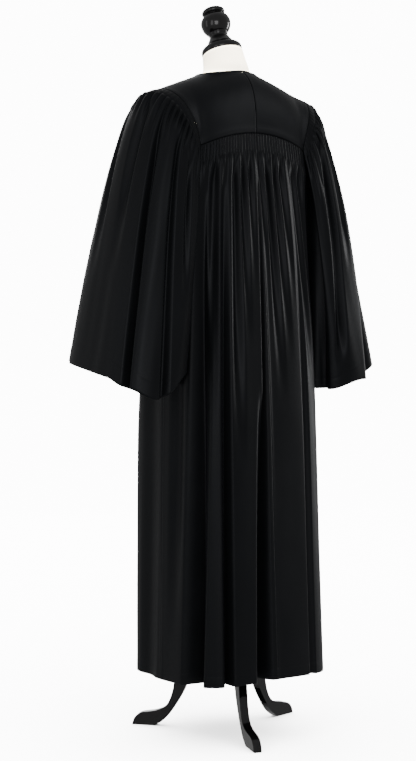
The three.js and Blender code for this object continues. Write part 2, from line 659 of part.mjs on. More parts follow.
function sleeveRows(troughs, hem) {
  const surface = (a, b) => sleevePoint(a, b, troughs, hem);
  const at = (round, down, fold) => {
    const normal = normalOf(surface, round, clamp(down, 0.012, 0.99), 0.004, 0.01);
    return faces(surface(round, down), normal, fold, round);
  };
  const { from, rows, sizes } = SLEEVE_FLUTES;
  const fluted = rows.map((down, r) => {
    const row = [];
    for (let i = 0; i < FLUTE.sleeve * 2; i++) {
      const round = lerp(from, 1 - from, i / (FLUTE.sleeve * 2));
      row.push(at(round, down, i ? (i % 2 ? 1 : -1) * FLUTE.depth * sizes[r] : 0));
    }
    for (let i = 0; i < SLEEVE_LOWER; i++) {
      row.push(at(lerp(1 - from, 1 + from, i / SLEEVE_LOWER), down, 0));
    }
    return row;
  });
  const plain = SLEEVE_DOWN.map((down) =>
    steps(SLEEVE_COLUMNS)
      .slice(0, -1)
      .map((t) => at(from + t, down, 0)),
  );
  return [...fluted, ...plain];
}

addPiece("sleeve_left", wall(sleeveRows(LEFT_SLEEVE_TROUGHS, LEFT_HEM), true), BLACK_CLOTH);
addPiece("sleeve_right", wall(mirrored(sleeveRows(RIGHT_SLEEVE_TROUGHS, RIGHT_HEM)), true), BLACK_CLOTH);

// Front placket: a plain band over the closing edge, from the neck point to the hem
function placketPoint(across, z) {
  const x = (across - 0.5) * PLACKET.width;
  const foot = seamZ(x);
  if (z <= foot) return bodyPoint(180 - Math.atan2(x, tableValue(BODY, "front", z)) / DEG, z);
  const top = chartPoint(0, -0.0001).z;
  const share = clamp((z - foot) / (top - foot), 0, 1);
  const alpha = Math.acos(share ** (1 / ARCH.rise)) / DEG;
  return chartPoint(x, -tauOf(alpha));
}
const placketFaces = (across, z) =>
  faces(placketPoint(across, z), normalOf(placketPoint, across, z, -0.02, -1), PLACKET.lift, across);
const neckPoint = chartPoint(0, neckline(1).tau).z;
const placketRows = [
  ...[1, 0.8, 0.55, 0.3].map((t) => lerp(SEAM_Z, neckPoint - 3, t)),
  SEAM_Z + 7,
  ...FLUTE_ROWS.map((row) => bodyTop(180) - FLUTE.band * row.down),
  ...BELOW.map((share) => lerp(bodyTop(180) - FLUTE.fade, HEM_Z, share)),
].map((z) => [1, 0.75, 0.5, 0.25, 0].map((across) => ({ ...placketFaces(across, z), at: 1 - across })));
addPiece("front_placket", wall(placketRows, false), BLACK_CLOTH);

// Neck binding: a small roll round the neckline
const BINDING_STEPS = 44;
const BINDING_SIDES = 6;
function bindingRing(turn) {
  const share = clamp(turn <= 0.5 ? turn * 2 : 2 - turn * 2, 0.004, 0.994);
  const edge = yokePoint(share, 0);
  const outward = normalOf(yokePoint, share, 0.02, 0.003, 0.01);
  const inwards = yokePoint(share + 0.003, 0).sub(edge).cross(outward).normalize();
  const centre = edge.addScaledVector(inwards, BINDING.lift);
  if (turn === 0.5) centre.set(0, centre.y, centre.z + 1.5);
  const flip = turn > 0.5 ? -1 : 1;
  return steps(BINDING_SIDES)
    .slice(0, -1)
    .map((t) => {
      const round = t * 2 * Math.PI;
      const p = centre.clone().addScaledVector(inwards, BINDING.radius * Math.cos(round));
      p.addScaledVector(outward, BINDING.radius * Math.sin(round));
      return vec(p.x * flip, p.y, p.z);
    });
}

// A closed ring of tube sections
function ringTube(rings) {
  const index = [];
  const sides = rings[0].length;
  const at = (ring, side) => (ring % rings.length) * sides + (side % sides);
  for (let ring = 0; ring < rings.length; ring++) {
    for (let side = 0; side < sides; side++) {
      index.push(at(ring, side), at(ring + 1, side), at(ring, side + 1));
      index.push(at(ring, side + 1), at(ring + 1, side), at(ring + 1, side + 1));
    }
  }
  const geometry = new THREE.BufferGeometry();
  const points = rings.flat().flatMap((p) => [p.x, p.y, p.z]);
  geometry.setAttribute("position", new THREE.BufferAttribute(new Float32Array(points), 3));
  geometry.setIndex(index);
  return geometry;
}
const bindingRings = steps(BINDING_STEPS)
  .slice(0, -1)
  .map((turn) => bindingRing(turn));
addPiece("neck_binding", ringTube(bindingRings), BLACK_CLOTH);

// Dress form
const torsoRows = TORSO.map((ring) =>
  steps(TORSO_SIDES)
    .slice(0, -1)
    .map((t) => {
      const across = ring.half * Math.cos(t * 2 * Math.PI);
      const deep = ring.deep * Math.sin(t * 2 * Math.PI);
      const tilt = ring.tilt * DEG;
      return vec(across, deep * Math.cos(tilt) - ring.lean, ring.z + deep * Math.sin(tilt));
    }),
);
addPiece("dress_form", loft(torsoRows), IVORY_CLOTH);

// A solid through rings, closed by a flat face at both ends
function loft(rings) {
  const sides = rings[0].length;
  const middles = [rings[0], rings[rings.length - 1]].map((ring) =>
    ring.reduce((sum, p) => sum.add(p), vec(0, 0, 0)).divideScalar(sides),
  );
  const vertices = [...rings.flat(), ...middles].flatMap((p) => [p.x, p.y, p.z]);
  const index = [];
  const at = (ring, side) => ring * sides + (side % sides);
  for (let side = 0; side < sides; side++) {
    for (let ring = 0; ring + 1 < rings.length; ring++) {
      index.push(at(ring, side), at(ring + 1, side), at(ring, side + 1));
      index.push(at(ring, side + 1), at(ring + 1, side), at(ring + 1, side + 1));
    }
    index.push(rings.length * sides, at(0, side), at(0, side + 1));
    index.push(rings.length * sides + 1, at(rings.length - 1, side + 1), at(rings.length - 1, side));
  }
  const geometry = new THREE.BufferGeometry();
  geometry.setAttribute("position", new THREE.BufferAttribute(new Float32Array(vertices), 3));
  geometry.setIndex(index);
  return geometry;
}

// Stand
const baseRing = (z, shrink) =>
  steps(TORSO_SIDES)
    .slice(0, -1)
    .map((t) => {
      const turn = t * 2 * Math.PI;
      const across = (BASE_PLATE.half - shrink) * Math.cos(turn);
      return vec(across, (BASE_PLATE.deep - shrink) * Math.sin(turn), z);
    });
const plateTop = TORSO[TORSO.length - 1].z - JOINT_GAP;
const plateFoot = plateTop - BASE_PLATE.thick;
const { chamfer } = BASE_PLATE;
const plateRings = [baseRing(plateTop, 0), baseRing(plateFoot + chamfer, 0), baseRing(plateFoot, chamfer)];
addPiece("base_plate", loft(plateRings), BLACK_WOOD);

const profile = (table, height) => table.map((p) => new THREE.Vector2(p.r, p[height]));
const poleTop = plateFoot - JOINT_GAP;
const pole = new THREE.CylinderGeometry(POLE.radius, POLE.radius, poleTop - POLE.bottom, POLE.sides);
pole.rotateX(Math.PI / 2).translate(0, 0, (poleTop + POLE.bottom) / 2);
addPiece("pole", pole, BLACK_WOOD);

const hub = new THREE.LatheGeometry(profile(HUB_PROFILE, "z").reverse(), POLE.sides);
hub.rotateX(Math.PI / 2);
addPiece("leg_hub", hub, BLACK_WOOD);

const legShape = new THREE.Shape(
  [LEG_TOP_EDGE, LEG_LOWER_EDGE].flatMap((edge) => {
    const points = edge.map((p) => new THREE.Vector2(p.r, p.z));
    return new THREE.SplineCurve(points).getPoints((points.length - 1) * 2);
  }),
);
for (const { name, degrees } of LEGS) {
  const leg = new THREE.ExtrudeGeometry(legShape, { depth: LEG_THICK, bevelEnabled: false });
  leg.translate(0, 0, -LEG_THICK / 2).rotateX(Math.PI / 2).rotateZ(degrees * DEG);
  addPiece(name, leg, BLACK_WOOD);
}

for (const [name, table] of [["neck_cap", CAP_PROFILE], ["finial", BALL_PROFILE]]) {
  const turnedPiece = new THREE.LatheGeometry(profile(table, "h"), FINIAL.sides);
  turnedPiece.rotateX(Math.PI / 2 + FINIAL.tilt * DEG).translate(0, -FINIAL.lean, FINIAL.z);
  addPiece(name, turnedPiece, BLACK_WOOD);
}

group.position.set(0, (FRONT_REACH - BACK_REACH) / 2, 0);
export default group;
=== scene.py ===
import math

import bmesh
import bpy
import numpy as np
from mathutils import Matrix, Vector


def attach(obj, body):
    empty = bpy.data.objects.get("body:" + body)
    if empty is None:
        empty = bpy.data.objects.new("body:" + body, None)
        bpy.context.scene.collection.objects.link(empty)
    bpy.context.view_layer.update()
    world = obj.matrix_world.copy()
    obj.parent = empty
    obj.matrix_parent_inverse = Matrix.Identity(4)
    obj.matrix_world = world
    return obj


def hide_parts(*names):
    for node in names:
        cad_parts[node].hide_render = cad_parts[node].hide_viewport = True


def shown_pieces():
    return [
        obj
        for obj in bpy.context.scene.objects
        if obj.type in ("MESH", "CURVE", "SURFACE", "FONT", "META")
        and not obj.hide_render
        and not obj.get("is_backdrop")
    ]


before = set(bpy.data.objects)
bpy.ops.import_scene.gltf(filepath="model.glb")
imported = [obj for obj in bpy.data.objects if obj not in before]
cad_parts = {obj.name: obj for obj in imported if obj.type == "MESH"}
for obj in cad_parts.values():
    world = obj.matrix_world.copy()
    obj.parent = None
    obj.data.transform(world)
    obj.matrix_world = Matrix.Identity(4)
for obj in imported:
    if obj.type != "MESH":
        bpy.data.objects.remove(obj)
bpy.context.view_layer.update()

# Driving dimensions, the same as the solids'
POLE_Y = -18.5
CLOTH = 1.6
SEAM_GAP = 0.5
HEM_Z = 145.0
HEM_DIP = 9.0
SEAM_Z = 1326.0
SEAM_DROP = 32.0
CORNER_X = 140.0
SHOULDER_X = 186.0
UNDERARM_Z = 1215.0
RIDGE = {"top": 1475.0, "slope": 0.36, "round": 24.0}
ARCH = {"rise": 0.66, "run": 0.9, "pack": 1.5}
NECK = {"side": 72.0, "back": 55.0, "vee_angle": 76.0, "vee_curve": 1.6}
FLUTE = {"band": 42.0, "depth": 1.5, "back": 19, "front": 14, "sleeve": 36}
# Pleats just under the pressed bands, where the cloth is let go
RELEASED = {"back": 7, "front": 5, "sleeve": 26, "depth": 2.2, "sleeve_depth": 4.2}
PLACKET = {"width": 50.0, "lift": 2.4, "clear": 29.0}
# Radii at which the troughs' widths are measured, under the yoke and at the hem
TOP_RADIUS = 130.0
HEM_RADIUS = 190.0
# Shares of the yoke's border where the back seam meets the armhole and the armhole the front seam
TURN_BACK = 0.3
TURN_FRONT = 0.72
# Width of the yoke from the neckline out to its border, about
YOKE_WIDE = 110.0

# The body's envelope: a squarish loop at each height
BODY_COLUMNS = ("z", "half", "back", "front", "square")
BODY = (
    (1482, 162, 100, 100, 4.2),
    (1326, 166, 105, 105, 4.2),
    (1290, 168, 108, 112, 4.2),
    (1180, 170, 122, 128, 4),
    (1040, 171, 135, 150, 4),
    (738, 174, 156, 168, 4),
    (400, 178, 172, 166, 4),
    (148, 181, 185, 160, 4),
)

# Soft troughs: degrees round from the centre back at the top and the hem, the height where each
# starts, the height where it has faded (0 runs to the hem), half widths and depth
MAIN_TROUGHS = (
    (51, 58.5, 1285, 0, 13, 31, 54),
    (39, 35.5, 1262, 0, 8, 13, 36),
    (2, 9, 1240, 0, 5, 9, 28),
    (8, 10.5, 760, 0, 7, 25, 44),
    (-38, -29.5, 1272, 0, 9, 11, 12),
    (-56, -64, 1240, 0, 13, 26, 44),
    (101, 106, 1170, 0, 20, 40, 8),
    (-90, -92, 1170, 0, 16, 30, 44),
    (134, 131, 1262, 0, 13, 30, 58),
    (152, 152, 1236, 0, 12, 26, 50),
    (-116, -119, 1240, 0, 14, 28, 52),
    (-136, -138, 1262, 0, 13, 24, 44),
    (-153, -155, 1240, 0, 12, 24, 46),
)
SMALL_TROUGHS = (
    (72, 76, 1150, 250, 14, 30, 10),
    (45.5, 47, 1284, 700, 9, 16, 12),
    (28, 28, 1282, 640, 10, 20, 15),
    (20, 19, 1284, 900, 9, 18, 13),
    (11, 12, 1284, 1010, 9, 14, 10),
    (-3, -4, 1284, 1020, 9, 14, 10),
    (-12, -14, 1283, 780, 10, 20, 14),
    (-21, -23, 1284, 860, 10, 18, 13),
    (-28.5, -32, 1284, 960, 9, 16, 11),
    (-42, -46, 1284, 760, 9, 18, 13),
    (-48, -52, 1284, 900, 8, 14, 10),
    (126, 122, 1282, 700, 9, 18, 14),
    (143, 142, 1284, 820, 9, 18, 13),
    (-127, -128, 1282, 740, 9, 18, 13),
    (-145, -147, 1284, 860, 9, 16, 12),
)

# Stretches over which a small trough comes in and fades
FADE = {"in": 60.0, "out": 420.0}

# Sleeves: the middle of the hem, its half width and half depth, how square it is, and how far it
# rises towards the front and the outside
SLEEVE = {
    "x": 265.0,
    "y": -5.0,
    "z": 800.0,
    "half": 88.0,
    "deep": 150.0,
    "square": 3.2,
    "front": 24.0,
    "outer": 14.0,
}
# Share of the armhole between the underarm and the yoke's corner
CORNER_SHARE = 0.16
# Lengths round a sleeve at the armhole and at the hem, for the troughs' widths
ARMHOLE_ROUND = 560.0
SLEEVE_ROUND = 900.0
# Lifts of the hem: place round, half width and height
LEFT_HEM = {"reach": 4.0, "lifts": ((0.15, 0.12, 44), (0.285, 0.1, -20), (0.375, 0.05, -8))}
RIGHT_HEM = {"reach": -3.0, "lifts": ((0.12, 0.1, -8), (0.25, 0.08, 8), (0.42, 0.13, 34))}
# Handles of the curve from armhole to hem: place round, leaving x y z, arriving x y z
SLEEVE_LINES = (
    (0.0, 9, 0, -60, 4, 0, 150),
    (0.16, 16, 22, -90, -14, 6, 160),
    (0.3, 54, 26, -36, -45, -14, 250),
    (0.5, 84, 0, -4, -64, 0, 320),
    (0.7, 56, -28, -34, -45, 14, 250),
    (0.84, 16, -22, -90, -14, -6, 160),
    (1.0, 9, 0, -60, 4, 0, 150),
)
# Folds on a sleeve's face towards the body: place round, half width and height
INNER_FOLDS = ((0.92, 0.02, 6.0), (0.955, 0.016, 5.0))
# Troughs on a sleeve: place round at the armhole and at the hem, share of the way down where each
# starts and fades (2 runs to the hem), half widths and depth
LEFT_SLEEVE = (
    (0.41, 0.362, 0.12, 2, 9, 15, 26),
    (0.33, 0.255, 0.07, 2, 9, 16, 17),
    (0.47, 0.47, 0.06, 0.8, 11, 26, 13),
    (0.25, 0.2, 0.08, 0.8, 9, 20, 12),
    (0.56, 0.57, 0.07, 0.8, 10, 24, 14),
    (0.63, 0.65, 0.06, 2, 11, 26, 38),
    (0.72, 0.76, 0.08, 1.2, 10, 24, 18),
)
RIGHT_SLEEVE = (
    (0.15, 0.132, 0.05, 2, 11, 24, 27),
    (0.285, 0.19, 0.07, 0.93, 13, 24, 17),
    (0.35, 0.25, 0.06, 0.7, 11, 22, 16),
    (0.43, 0.32, 0.06, 2, 12, 44, 42),
    (0.5, 0.49, 0.06, 0.7, 10, 24, 13),
    (0.58, 0.58, 0.07, 2, 11, 24, 38),
    (0.66, 0.68, 0.06, 0.9, 10, 24, 16),
    (0.73, 0.78, 0.08, 2, 10, 24, 30),
)

# The dress form's rings: height, half width, half depth, lean forwards, tilt in degrees
TORSO = (
    (1507, 45, 45, 17, 20),
    (1490, 47, 47, 11, 12),
    (1475, 50, 49, 5, 5),
    (1465, 53, 50, 3, 0),
    (1457, 62, 54, 1, 0),
    (1447, 90, 59, 0, 0),
    (1433, 130, 65, 0, 0),
    (1421, 162, 70, 0, 0),
    (1407, 169, 75, 0, 0),
    (1360, 165, 86, 0, 0),
    (1290, 150, 93, 0, 0),
    (1200, 140, 94, 0, 0),
    (1090, 124, 84, 0, 0),
    (980, 136, 90, 0, 0),
    (880, 146, 94, 0, 0),
    (800, 142, 90, 0, 0),
)
RING_STEPS = 5
FORM_SIDES = 96

# The yoke's grid, closer beside the seams and corners, its lip, its centre-back seam and its sag
YOKE_EDGE_ROWS = (0.9, 0.925, 0.945, 0.96, 0.972, 0.982, 0.99, 0.996, 1.0)
YOKE_CENTRE_COLUMNS = (0.0, 0.0012, 0.0018, 0.0024, 0.0032, 0.0042, 0.0055, 0.008, 0.011, 0.014, 0.018, 0.024)
YOKE_FRONT_COLUMNS = (0.986, 0.991, 0.995, 0.998, 1.0)
YOKE_CORNER_STEPS = np.array([-0.005, 0.0, 0.005])
YOKE_LIP = {"high": 0.9, "wide": 11.0, "soft": 5.0}
YOKE_SAG = {"high": 0.5, "wide": 22.0, "long": 30.0}
CENTRE_SEAM = {"lip": 0.2, "lip_at": 4.2, "lip_wide": 1.6, "deep": 2.4, "half": 0.8, "soft": 0.6}

# Body panels: degrees round from the centre back, and a seed. Then the steps of their grids: for each
# pleat, in the plain parts, and degrees in from the side seams
PANELS = (
    ("back_left", 0.0, 90.0, 11),
    ("back_right", -90.0, 0.0, 12),
    ("front_left", 90.0, 180.0, 13),
    ("front_right", -180.0, -90.0, 14),
)
PLEAT_STEPS = 7
PLAIN_STEPS = 47
PLACKET_STEPS = 11
SEAM_STEPS = np.array([0.35, 0.7, 1.1, 1.5, 2.0])
# How far a panel's upper edge is tucked in under the yoke
EDGE_TUCK = 2.5
ROWS_UNDER_EDGE = (-3, -0.6, 0.3, 1.4)
ROWS_ABOVE_HEM = (28, 26, 25, 24.4, 23.8, 23, 22, 20, 14, 8, 2, 0)
HEM_ROWS_FROM = 30.0
# Where the pressed pleats of the panels end and the puffs below them begin and end: distance below
# the seam, and the stretch it takes, at least and with what differs from pleat to pleat
BAND_ENDS = {"at": 34.0, "least": 26.0, "more": 34.0}
PUFFS_BEGIN = {"at": 37.0, "over": 9.0}
PUFFS_END = {"at": 56.0, "least": 34.0, "more": 60.0}
# The same on the sleeves, as shares of the way down
SLEEVE_BAND_ENDS = {"at": 0.05, "least": 0.05, "more": 0.04}
GATHERS_BEGIN = {"at": 0.07, "over": 0.03}
GATHERS_END = {"at": 0.13, "least": 0.07, "more": 0.22}
# Uneven cloth of the panels: height, width round and length down of the waves, and the distance
# below the seam over which they come in
PANEL_WAVES = {"fold": (0.8, 19, 520, 90), "broad": (1.6, 46, 600, 260), "ripple": (0.12, 9, 150, 60)}
PANEL_CALM = {"share": 0.35, "from": 40.0, "over": 300.0}
PANEL_RADIUS = {"waves": 170.0, "seams": 150.0}
# Relief of the seams between the panels and of the turned-up hems
SIDE_SEAM = {"lip": 0.5, "lip_at": 3.0, "lip_wide": 1.6, "deep": 0.8, "wide": 0.9}
SIDE_SEAM_SOFTER = {"share": 0.9, "from": 24.0, "over": 50.0}
HEM_RELIEF = {"up": 0.2, "line": 0.25, "wide": 1.4}
HEM_FOLD = 24.0

# Steps of the sleeves' grids, and where their closer rows lie as shares of the way down
SLEEVE_PLEAT_STEPS = 6
UNDERARM_STEPS = 43
SLEEVE_HEM_ROWS = (0.949, 0.952, 0.955, 0.958, 0.961)
# The strip at the armhole: its height and end, and the depth of its pleats as a share of the yoke's
SLEEVE_STRIP = {"high": 0.8, "until": 0.075, "pleats": 0.2}
# Stretches over which a sleeve's trough comes in and fades, shorter where it ends near the hem
SLEEVE_FADE = {"in": 0.3, "out": 0.4, "near_hem": 0.16}
# The stitch line of the hem and its width, as shares of the way down
SLEEVE_FOLD = 0.955
SLEEVE_FOLD_WIDE = 0.0035
# Rings of small folds on a sleeve: how many go round, phase for a seed and height
SLEEVE_RINGS = ((17, 1.0, 0.6), (23, 1.7, 0.5), (9, 0.6, 1.0))
SLEEVE_CALM = 0.7
# The hidden edge of a sleeve: how far below the yoke it lies and how far it reaches under it
SLEEVE_UNDER = {"below": 2.4, "reach": 2.6}

# Stitch line along the placket's edges, and the roll round the neckline
STITCH = {"from_edge": 6.0, "deep": 0.35, "wide": 0.9}
BINDING = {"steps": 160, "sides": 12, "radius": 1.6, "inside": 2.3, "front_rise": 1.5}

# Profiles of the turned wood: radius and height
CAP = (
    (0, 0.3), (42.5, 0.3), (44.5, 2), (45.5, 7), (44.5, 13),
    (40, 17.5), (34, 19.5), (32, 22.5), (0, 22.5),
)
BALL = (
    (0, 22.8), (31, 22.8), (29, 26), (25, 33), (21, 40), (20, 44), (22, 47),
    (21, 49.5), (25, 52), (31, 61), (33.5, 71), (33, 80), (29, 88.5), (22, 94),
    (19.5, 96), (24, 97), (26, 100.3), (25, 105.3), (19, 109.8), (9, 112), (0, 112.4),
)
POLE = ((0, 0), (16, 0), (17, 1), (17, 452.9), (16, 453.9), (0, 453.9))
HUB = ((0, 0), (15, 6), (24, 18), (30.6, 28), (30.6, 108), (22, 118), (25, 128), (21, 137), (0, 137))
PLATE = ((0, 0), (134, 0), (138, 4), (138, 12.5), (136.5, 14), (0, 14))
CAP_PLACE = (0, POLE_Y - 17, 1507)
CAP_TILT = 20
# Turned pieces: profile, sides, rounds of smoothing, place, tilt in degrees and depth for a width of 1
TURNED = {
    "neck_cap": (CAP, 72, 2, CAP_PLACE, CAP_TILT, 1),
    "finial": (BALL, 72, 2, CAP_PLACE, CAP_TILT, 1),
    "pole": (POLE, 48, 1, (0, POLE_Y, 331.5), 0, 1),
    "leg_hub": (HUB, 64, 1, (0, POLE_Y, 194), 0, 1),
    "base_plate": (PLATE, 96, 1, (0, POLE_Y, 785.7), 0, 86 / 138),
}

# A leg's outline as distance from the pole and height, its half thickness and rounded edge
LEG_TOP_EDGE = (
    (31, 298), (62, 270), (96, 196), (115, 128), (124, 82),
    (136, 52), (157, 37), (196, 29), (212, 18), (219, 0),
)
LEG_LOWER_EDGE = ((167, 0), (142, 17), (118, 49), (96, 88), (80, 130), (60, 184), (42, 220), (31, 232))
LEG_HALF = 9.5
LEG_ROUND = 3.2
CURVE_STEPS = 6
LEG_TURNS = {"leg_1": -49.4, "leg_2": 70.6, "leg_3": 190.6}

# Studio, in metres: a pale floor, an even backdrop and the light that it gives
FLOOR_REACH = 60.0
FLOOR_PALE = 0.9
BACKDROP = 13.0
AMBIENT = 0.45
WASH_ANGLE = math.radians(120)
# Camera: turn from straight behind, distance, height, pitch and yaw
CAMERA_TURN = math.radians(37)
CAMERA_AWAY = 3.97
CAMERA_HEIGHT = 0.992
CAMERA_PITCH = math.radians(2.99)
CAMERA_YAW = math.radians(0.61)
CAMERA_LENS = 84.45
TO_CAMERA = Vector((math.sin(CAMERA_TURN), math.cos(CAMERA_TURN), 0))
TO_RIGHT = Vector((-math.cos(CAMERA_TURN), math.sin(CAMERA_TURN), 0))
# Lights: towards the camera, to the right, height, height aimed at, width and height, power
LIGHTS = {
    "key_right": (-1.6, 3.05, 1.2, 1.0, (0.6, 1.7), 41),
    "key_left": (0.8, -3.2, 1.4, 1.0, (0.7, 2.2), 5),
    "wide_back": (3.4, 0.3, 1.6, 0.9, (1.5, 1.8), 31),
    "high_back": (0.7, 2.6, 2.7, 1.4, (1.6, 1.6), 18),
    "fill_left": (3.0, -1.7, 1.5, 0.9, (1.0, 2.2), 11),
    "wide_front": (-3.6, -0.9, 1.6, 0.9, (2.4, 2.4), 40),
}


# Small helpers
def lerp(a, b, t):
    return a + (b - a) * t


def smooth(t):
    c = np.clip(t, 0.0, 1.0)
    return c * c * (3 - 2 * c)


def bell(t):
    return np.where(np.abs(t) < 1, 0.5 + 0.5 * np.cos(np.pi * np.clip(t, -1, 1)), 0.0)


# A narrow rounded line
def line_at(offset, wide):
    return np.exp(-((offset / wide) ** 2))


def unit(v):
    return v / np.maximum(np.linalg.norm(v, axis=-1, keepdims=True), 1e-12)


def join(x, y, z):
    return np.stack(np.broadcast_arrays(x, y, z), axis=-1).astype(float)


# Slow uneven waves, the same at every run
def drift(u, v, seed, octaves=3):
    total = np.zeros(np.broadcast(u, v).shape)
    rng = np.random.default_rng(seed)
    for k in range(octaves):
        a, b, p, q = rng.uniform(0.6, 1.4, 4)
        phase = rng.uniform(0, 2 * np.pi, 3)
        scale = 1.9**k
        wave = np.sin(u * a * scale + phase[0] + 1.3 * np.sin(v * b * scale + phase[1]))
        total += wave * np.sin(v * p * scale * 0.7 + q * u * 0.3 + phase[2]) / (1.6**k)
    return total / 1.8


def body_value(name, z):
    table = np.array(BODY, float)
    zs, values = table[:, 0], table[:, BODY_COLUMNS.index(name)]
    i = np.clip((zs[:, None] > np.ravel(z)[None, :]).sum(0), 1, len(zs) - 1).reshape(np.shape(z))
    before, after = np.maximum(i - 2, 0), np.minimum(i + 1, len(zs) - 1)
    a, b = values[i - 1], values[i]
    za, zb = zs[i - 1], zs[i]
    run = za - zb
    t = np.clip((za - z) / run, 0, 1)
    slope_a = np.where(i > 1, (b - values[before]) * run / np.maximum(zs[before] - zb, 1e-9), b - a)
    slope_b = np.where(i < len(zs) - 1, (values[after] - a) * run / np.maximum(za - zs[after], 1e-9), b - a)
    rise = t * t * (3 - 2 * t)
    return lerp(a, b, rise) + (t - 1) ** 2 * t * slope_a + t * t * (t - 1) * slope_b


def envelope(angle, z):
    s, c = np.sin(np.radians(angle)), np.cos(np.radians(angle))
    square = body_value("square", z)
    depth = np.where(c > 0, body_value("back", z), body_value("front", z))
    across = np.abs(s) / body_value("half", z)
    radius = (across**square + (np.abs(c) / depth) ** square) ** (-1 / square)
    return join(radius * s, radius * c, z)


# Level direction out of the envelope
def envelope_outward(angle, z):
    along = unit(envelope(angle + 0.3, z) - envelope(angle - 0.3, z))
    return join(-along[..., 1], along[..., 0], 0 * along[..., 0])


def body_trough(angle, z):
    depth = 0.0
    for at, to, start, until, wide, wide_hem, deep in MAIN_TROUGHS + SMALL_TROUGHS:
        down = np.clip((start - z) / (start - HEM_Z), 0, 1)
        turn = (angle - lerp(at, to, down) + 180) % 360 - 180
        off = np.radians(turn) * lerp(TOP_RADIUS, HEM_RADIUS, down) / lerp(wide, wide_hem, np.sqrt(down))
        if until:
            fading = smooth((start - z) / FADE["in"]) * smooth((z - until + FADE["in"]) / FADE["out"])
        else:
            fading = down**0.7
        depth = depth + deep * fading * bell(off)
    return depth


def body_point(angle, z):
    return envelope(angle, z) - envelope_outward(angle, z) * body_trough(angle, z)[..., None]


def seam_z(x):
    return SEAM_Z - SEAM_DROP * (x / CORNER_X) ** 2


def corner_angle():
    angles = np.linspace(0, 90, 901)
    xs = envelope(angles, np.full(901, seam_z(CORNER_X)))[:, 0]
    return float(angles[np.argmax(xs >= CORNER_X)])


CORNER_ANGLE = corner_angle()


def body_top(angle):
    turn = np.where(np.abs(angle) > 90, 180 - np.abs(angle), np.abs(angle))
    x0 = np.abs(envelope(angle, np.full(np.shape(angle), SEAM_Z))[..., 0])
    x1 = np.abs(envelope(angle, seam_z(x0))[..., 0])
    seam = seam_z(np.minimum(CORNER_X, x1))
    share = np.clip((turn - CORNER_ANGLE) / (90 - CORNER_ANGLE), 0, 1)
    armhole = lerp(seam_z(CORNER_X), UNDERARM_Z, 1 - (1 - share) ** 2)
    return np.where(turn <= CORNER_ANGLE, seam, armhole) - SEAM_GAP


def body_hem(angle):
    return HEM_Z - HEM_DIP * np.sin(np.radians(angle)) ** 2


# The yoke's chart: x across, tau from 1 on the back seam over 0 on the shoulder to -1 in front
def alpha_of(tau):
    return np.radians(90 * (1 - (1 - np.abs(tau)) ** ARCH["pack"]))


def tau_of(degrees):
    return 1 - (1 - degrees / 90) ** (1 / ARCH["pack"])


def chart_point(x, tau):
    alpha = alpha_of(tau)
    foot = seam_z(x)
    top = RIDGE["top"] - RIDGE["slope"] * (np.hypot(x, RIDGE["round"]) - RIDGE["round"])
    square = body_value("square", foot)
    across = np.minimum(np.abs(x), CORNER_X) / body_value("half", foot)
    depth = np.where(tau > 0, body_value("back", foot), body_value("front", foot))
    depth = depth * (1 - across**square) ** (1 / square)
    rise = np.maximum(0, np.cos(alpha)) ** ARCH["rise"]
    return join(x, np.sign(tau) * depth * np.sin(alpha) ** ARCH["run"], foot + (top - foot) * rise)


def armhole_x(tau):
    return lerp(CORNER_X, SHOULDER_X, np.maximum(0, np.cos(alpha_of(tau))) ** 0.85)


def neckline(share):
    turn = np.radians(np.clip(share, 0, 0.5) * 180)
    x_back = NECK["side"] * np.sin(turn)
    depth = np.abs(chart_point(x_back, np.ones(np.shape(share)))[..., 1])
    y = np.clip(NECK["back"] * np.cos(turn) / depth, 0, 1)
    tau_back = tau_of(np.degrees(np.arcsin(y ** (1 / ARCH["run"]))))
    f = np.clip(share * 2 - 1, 0, 1)
    x_front = NECK["side"] * (1 - f ** NECK["vee_curve"])
    tau_front = -tau_of(NECK["vee_angle"] * f)
    back = share <= 0.5
    return np.where(back, x_back, x_front), np.where(back, tau_back, tau_front)


def border(share):
    tau = np.clip(1 - 2 * (share - TURN_BACK) / (TURN_FRONT - TURN_BACK), -1, 1)
    x = np.where(share <= TURN_BACK, CORNER_X * share / TURN_BACK, armhole_x(tau))
    x = np.where(share >= TURN_FRONT, CORNER_X * (1 - share) / (1 - TURN_FRONT), x)
    return x, tau


def yoke_point(share, out):
    xa, ta = neckline(share)
    xb, tb = border(share)
    return chart_point(lerp(xa, xb, out), lerp(ta, tb, out))


# Normals of a grid of points, by the differences between neighbours
def grid_normals(p, closed=False):
    if closed:
        wide = np.concatenate([p[:, -2:-1], p, p[:, 1:2]], axis=1)
        across = wide[:, 2:] - wide[:, :-2]
    else:
        across = np.gradient(p, axis=1)
    down = np.gradient(p, axis=0)
    return unit(np.cross(across, down))


